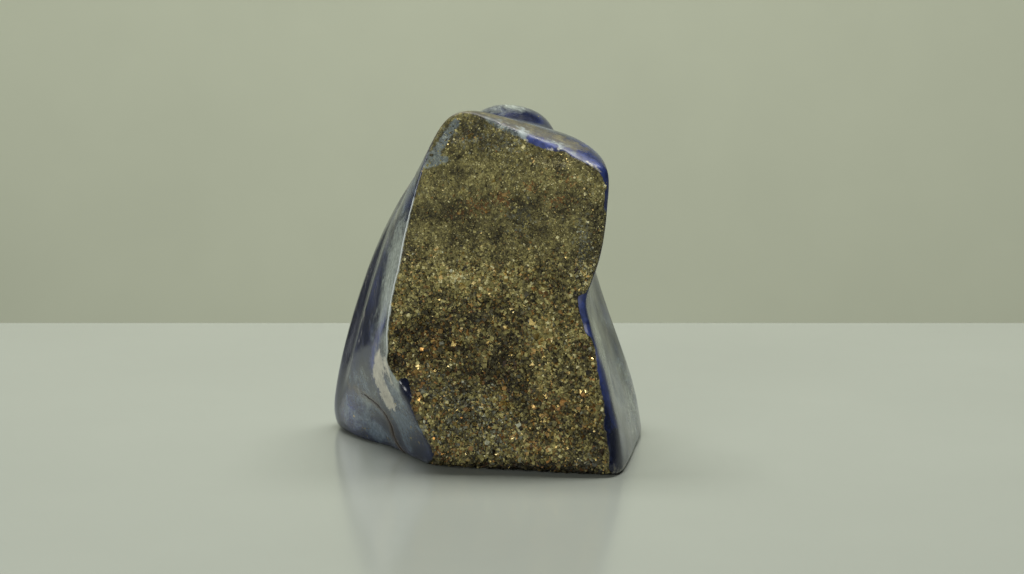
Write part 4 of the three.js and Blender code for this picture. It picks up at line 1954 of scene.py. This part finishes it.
@dataclass
class PyriteGrains:
    """Crystals scattered over the crust, each partly sunk in it.

    Args:
        skin: The skin that they sit in.
        name: What the piece is called.
        count: How many there are.
        size: Their usual width, in millimetres.
        finish: Their finish.
        seed: Which random arrangement is used.
        margin: How far inside the crust's edge they start.
        widths: The least and the greatest width.
        spread: How much the widths differ.
        named_widths: Least and greatest width of those whose places are given.
        named_tone: How light those are.
        stretch: How much one may be squashed or drawn out.
        dents: How uneven its corners are.
        sunk: How far it is sunk or stands out, for each unit of its width.
        clump: How far apart clumps of golden ones are.
        uneven: How much the tones differ.
        golden: Where large golden ones sit.
        orange: Where large amber ones sit.
        whitish: Where large pale ones sit.
    """

    skin: StoneSkin
    name: str = "pyrite_grains"
    count: int = 15000
    size: float = 0.32
    finish: GrainFinish = GrainFinish()
    seed: int = 11
    margin: float = 0.3
    widths: tuple[float, float] = (0.15, 0.80)
    spread: float = 0.30
    named_widths: tuple[float, float] = (0.9, 1.25)
    named_tone: float = 0.52
    stretch: tuple[float, float] = (0.65, 1.25)
    dents: float = 0.09
    sunk: tuple[float, float] = (-0.38, 0.06)
    clump: float = 2.4
    uneven: float = 0.21
    golden: tuple[Triple, ...] = (
        (-6.4, -26.8, 24.3), (-10.5, -26.6, 22.2), (0.5, -27.2, 27.5), (8.9, -28.8, 23.5), (13.2, -30.6, 14),
        (3.2, -29.5, 13.3), (11.4, -30.8, 11.1), (-12.3, -26.5, 21.8), (10.5, -28.6, 26.2), (8.1, -28.1, 27.6),
        (15.4, -31.4, 8.6), (-1.3, -29, 13.4), (-4.6, -29.6, 5.5), (1.2, -24.4, 52.6), (-3.4, -22.4, 61),
    )
    orange: tuple[Triple, ...] = (
        (-13.6, -26.8, 18.2), (-9.4, -27.6, 16.1), (-12.7, -27.7, 12.8), (-11.2, -28.3, 9.9), (1.4, -29.3, 13.4),
        (14.1, -30.8, 13.7), (10.5, -30.7, 10.9), (-9.2, -29.1, 3.6), (7.9, -24.7, 51.7), (3.2, -24.4, 50.2),
    )
    whitish: tuple[Triple, ...] = (
        (-8.6, -29.2, 3.8), (-5, -29.4, 2.7), (-1.3, -30.2, 4), (6, -31, 2.7), (18.6, -32.7, 2.5),
        (-11.8, -28, 14.6), (-10.2, -28.8, 6.8),
    )

    def build(self, net: Net) -> bpy.types.Object:
        """Makes the crystals.

        Args:
            net: The skin's net, with the crust's grains.

        Returns:
            One object with all crystals.
        """
        rng = np.random.default_rng(self.seed)
        places = self.places(net, rng)
        points = self.bodies(places, rng)
        faces = Crystal.faces()
        triangles = (faces[None] + 8 * np.arange(self.count)[:, None, None]).reshape(-1, 3)
        made = Net(points, triangles).to_object(self.name, self.skin.shift, smooth=False)
        made.data.materials.append(self.finish.material())
        for name, values in self.colours(places, rng).items():
            write_field(made, name, np.repeat(values, len(faces)), "FACE")
        return made

    def named(self) -> np.ndarray:
        """Lists the places that are given one by one.

        Returns:
            The places: golden, then amber, then pale.
        """
        return np.array(self.golden + self.orange + self.whitish).reshape(-1, 3)

    def drift(self, regions: tuple[Region, ...], places: np.ndarray) -> np.ndarray:
        """Tells how strongly a drift of one colour shows.

        Args:
            regions: The drift's regions.
            places: Where the crystals are.

        Returns:
            Its strength at each place, from 0 to 1.
        """
        return np.clip(strength(regions, places), 0.0, 1.0)

    def places(self, net: Net, rng: np.random.Generator) -> np.ndarray:
        """Scatters the crystals over the crust, fewer of them on its upper part and its ash.

        Args:
            net: The skin's net.
            rng: Gives the random draws.

        Returns:
            Where each crystal is.
        """
        middles = net.middles()
        weight = net.areas() * (self.skin.crust_field(middles) > self.margin)
        weight = weight * (1.0 - 0.6 * self.drift(self.skin.ash, middles))
        weight *= 0.55 + 0.45 * towards_foot(middles, 46.0, 34.0)
        picked = rng.choice(len(weight), self.count, p=weight / weight.sum())
        shares = rng.dirichlet((1.0, 1.0, 1.0), self.count)
        places = (net.points[net.triangles[picked]] * shares[:, :, None]).sum(1)
        for k, spot in enumerate(self.named()):
            places[k] = net.points[((net.points - spot) ** 2).sum(1).argmin()]
        return places

    def bodies(self, places: np.ndarray, rng: np.random.Generator) -> np.ndarray:
        """Shapes, turns and sinks the crystals.

        Args:
            places: Where they are.
            rng: Gives the random draws.

        Returns:
            The eight corners of each, one after another.
        """
        named = self.named()
        first = len(named)
        outward = self.skin.form.normals(places)
        low = towards_foot(places, 44.0, 30.0)
        width = self.size * np.exp(rng.normal(0.0, self.spread, self.count))
        width = np.clip(width * (0.72 + 0.5 * low + 0.3 * self.drift(self.skin.gold, places)), *self.widths)
        width[:first] = rng.uniform(*self.named_widths, first) * np.where(named[:, 2] > 44, 0.7, 1.0)
        shapes = np.stack([shape.corners() for shape in Crystal])
        body = shapes[rng.integers(0, len(shapes), self.count)]
        body = body * rng.uniform(*self.stretch, (self.count, 1, 3)) + rng.normal(0.0, self.dents, body.shape)
        turned = np.einsum("nij,nkj->nki", self._turns(rng), body)
        sunk = (rng.uniform(*self.sunk, self.count) * width)[:, None]
        points = turned * width[:, None, None] + (places + outward * sunk)[:, None, :]
        return self.skin.inside_box(points.reshape(-1, 3))

    def colours(self, places: np.ndarray, rng: np.random.Generator) -> dict[str, np.ndarray]:
        """Picks which crystals are golden, amber or grey, and how light each is.

        Args:
            places: Where they are.
            rng: Gives the random draws.

        Returns:
            The fields that the finish reads, each with one value for each crystal.
        """
        gold, rust, grey = (self.drift(item, places) for item in (self.skin.gold, self.skin.rust, self.skin.grey))
        low = towards_foot(places, 44.0, 30.0)
        chance = rng.random((3, self.count))
        clump = 0.5 + 0.5 * lattice_noise(places[:, 0] / self.clump + 7.0, places[:, 2] / self.clump)
        shiny = (chance[0] < 0.03 + 0.04 * low + 0.7 * gold * clump ** 2).astype(float)
        amber = (chance[1] < 0.02 + 0.09 * low + 0.55 * rust).astype(float)
        slate = (chance[2] < 0.015 + 0.45 * grey).astype(float) * (1 - amber)
        # Painted shade: crystals lower on the crust are darker, and each takes the crust's painted shade and
        # light.
        tone = self.skin.tone_with_painted_shade_and_light(places) + rng.normal(0.0, self.uneven, self.count) + 0.06 * shiny - 0.05 * low
        marks = np.repeat([0, 1, 2], [len(self.golden), len(self.orange), len(self.whitish)])
        first = len(marks)
        shiny[:first], amber[:first], slate[:first] = marks == 0, marks == 1, marks == 2
        tone[:first] = self.named_tone
        return {"tone": np.clip(tone, 0.0, 1.0), "gold": shiny,
                "rust": amber * rng.uniform(0.4, 1.0, self.count), "grey": slate * 0.9}

    def _turns(self, rng: np.random.Generator) -> np.ndarray:
        """Turns each crystal in some way, all ways being as likely.

        Args:
            rng: Gives the random draws.

        Returns:
            A rotation matrix for each crystal.
        """
        quaternions = rng.normal(size=(self.count, 4))
        quaternions /= np.linalg.norm(quaternions, axis=1, keepdims=True)
        w, x, y, z = quaternions.T
        return np.stack([
            np.stack([1 - 2 * (y * y + z * z), 2 * (x * y - z * w), 2 * (x * z + y * w)], 1),
            np.stack([2 * (x * y + z * w), 1 - 2 * (x * x + z * z), 2 * (y * z - x * w)], 1),
            np.stack([2 * (x * z - y * w), 2 * (y * z + x * w), 1 - 2 * (x * x + y * y)], 1),
        ], 1)


@dataclass(frozen=True)
class Stage:
    """The table that the stone stands on, and a wall some way behind its far edge.

    Args:
        half_width: Half the table's width, in metres.
        front: How far the table reaches in front of the stone.
        edge: How far behind the origin it ends.
        thickness: How thick it is.
        fillet: Radius of its far edge.
        steps: How many flats the round of that edge has.
        lip: Width of the narrow flats beside it.
        wall_ends: Where the wall ends on the left and on the right.
        wall_place: How far behind the origin the wall stands.
        wall_heights: Its foot and its top.
        table_finish: The table's finish.
        wall_finish: The wall's finish.
    """

    half_width: float = 1.1
    front: float = -1.2
    edge: float = 0.149
    thickness: float = 0.02
    fillet: float = 0.0015
    steps: int = 8
    lip: float = 0.002
    wall_ends: tuple[float, float] = (-0.30, 0.50)
    wall_place: float = 0.75
    wall_heights: tuple[float, float] = (-0.35, 0.9)
    table_finish: StageFinish = StageFinish("table top", (0.300, 0.323, 0.288), 0.16, 0.15)
    wall_finish: StageFinish = StageFinish("wall", (0.440, 0.470, 0.360), 0.9, 0.2)

    def build(self) -> None:
        """Makes the table and the wall."""
        flat = self.edge - self.fillet
        profile = [(self.front, 0.0), (flat - self.lip, 0.0)]
        for step in range(self.steps + 1):
            turn = math.radians(90.0 * step / self.steps)
            profile.append((flat + self.fillet * math.sin(turn), self.fillet * (math.cos(turn) - 1.0)))
        profile += [(self.edge, -self.fillet - self.lip), (self.edge, -self.thickness)]
        self.sheet("table_top", profile, (-self.half_width, self.half_width), self.table_finish)
        wall = [(self.wall_place, height) for height in self.wall_heights]
        self.sheet("wall", wall, self.wall_ends, self.wall_finish)

    def sheet(self, name: str, profile: list[tuple[float, float]], ends: tuple[float, float],
              finish: StageFinish) -> None:
        """Makes a sheet of one profile from left to right.

        Args:
            name: The object's name.
            profile: Its places from front to back and their heights, in metres.
            ends: Where it ends on the left and on the right.
            finish: Its finish.
        """
        points = [(x, y, z) for y, z in profile for x in ends]
        faces = [(2 * k, 2 * k + 1, 2 * k + 3, 2 * k + 2) for k in range(len(profile) - 1)]
        mesh = bpy.data.meshes.new(name)
        mesh.from_pydata(points, [], faces)
        mesh.polygons.foreach_set("use_smooth", [True] * len(faces))
        mesh.materials.append(finish.material())
        made = placed(name, mesh)


@dataclass(frozen=True)
class SoftBox:
    """A large soft light.

    Args:
        name: Its name.
        place: Where it hangs, in metres.
        aim: The point it faces.
        width: Its width.
        depth: Its other side.
        power: Its power in watts.
        colour: Its colour.
    """

    name: str
    place: Triple
    aim: Triple
    width: float
    depth: float
    power: float
    colour: Triple = (1.0, 1.0, 1.0)

    def build(self) -> bpy.types.Object:
        """Makes the light.

        Returns:
            The light's object.
        """
        lamp = bpy.data.lights.new(self.name, "AREA")
        lamp.shape = "RECTANGLE"
        lamp.size = self.width
        lamp.size_y = self.depth
        lamp.energy = self.power
        lamp.color = self.colour
        made = placed(self.name, lamp)
        made.location = self.place
        made.visible_camera = False
        made.rotation_euler = (Vector(self.aim) - Vector(self.place)).to_track_quat("-Z", "Y").to_euler()
        return made


@dataclass(frozen=True)
class Studio:
    """The lights, the dim surroundings and how the picture is developed.

    Args:
        boxes: The soft lights.
        surround: Colour of the surroundings.
        glow: How bright the surroundings are.
    """

    boxes: tuple[SoftBox, ...] = (
        SoftBox("overhead light", (0.03, 0.22, 0.90), (0.03, 0.16, 0.0), 1.05, 0.30, 14.4, (1.0, 0.99, 0.95)),
        SoftBox("front fill", (-0.32, -0.78, 0.32), (0.0, 0.0, 0.03), 0.4, 0.3, 3.3, (1.0, 1.0, 0.97)),
        SoftBox("left light", (-0.62, 0.42, 0.14), (-0.02, 0.0, 0.03), 0.34, 0.36, 0.8, (0.97, 1.0, 1.0)),
        SoftBox("wall light", (0.05, 0.25, -0.07), (0.05, 0.75, -0.07), 0.9, 0.25, 0.8, (1.0, 1.0, 0.97)),
    )
    surround: Triple = (0.36, 0.38, 0.33)
    glow: float = 0.12

    def build(self) -> None:
        """Makes the lights and the surroundings."""
        for box in self.boxes:
            box.build()
        world = bpy.data.worlds.new("studio")
        world.use_nodes = True
        backdrop = world.node_tree.nodes["Background"]
        backdrop.inputs["Color"].default_value = (*self.surround, 1.0)
        backdrop.inputs["Strength"].default_value = self.glow
        scene = bpy.context.scene
        scene.world = world
        scene.view_settings.view_transform = "Standard"


@dataclass(frozen=True)
class PhotoCamera:
    """The camera, placed as the photograph was taken.

    Args:
        place: Where it stands in the form's own frame, in millimetres.
        pitch: How far it looks down, in degrees.
        lens: Its focal length.
    """

    place: Triple = (4.5, -462.0, 95.0)
    pitch: float = 8.0
    lens: float = 85.0

    def build(self, shift: Triple) -> bpy.types.Object:
        """Makes the camera.

        Args:
            shift: How far the form was moved onto the solid, in millimetres.

        Returns:
            The camera's object.
        """
        data = bpy.data.cameras.new("photo camera")
        data.lens = self.lens
        data.sensor_width = 36.0
        data.clip_start = 0.01
        made = placed("photo camera", data)
        made.location = [(a + b) * MM for a, b in zip(self.place, shift)]
        made.rotation_euler = (math.radians(90.0 - self.pitch), 0.0, 0.0)
        bpy.context.scene.camera = made
        return made


def main() -> None:
    """Builds the stone, its grains, the stage, the lights and the camera."""
    logging.basicConfig(level=logging.INFO, format="%(name)s: %(message)s")
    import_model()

    skin = StoneSkin()
    stone, net = skin.build()
    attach(stone, "root")
    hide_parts(NODE)
    LOG.info("freeform_stone: %d faces", len(stone.data.polygons))

    coarse = PyriteGrains(skin)
    fine = PyriteGrains(skin, "pyrite_grit", 15500, 0.23, seed=12, golden=(), orange=(), whitish=())
    for group in (coarse, fine):
        grains = group.build(net)
        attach(grains, "root")
        LOG.info("%s: %d faces", group.name, len(grains.data.polygons))

    Stage().build()
    Studio().build()
    PhotoCamera().build(skin.shift)
    LOG.info("stage, lights and camera are placed")


if __name__ == "__main__":
    main()
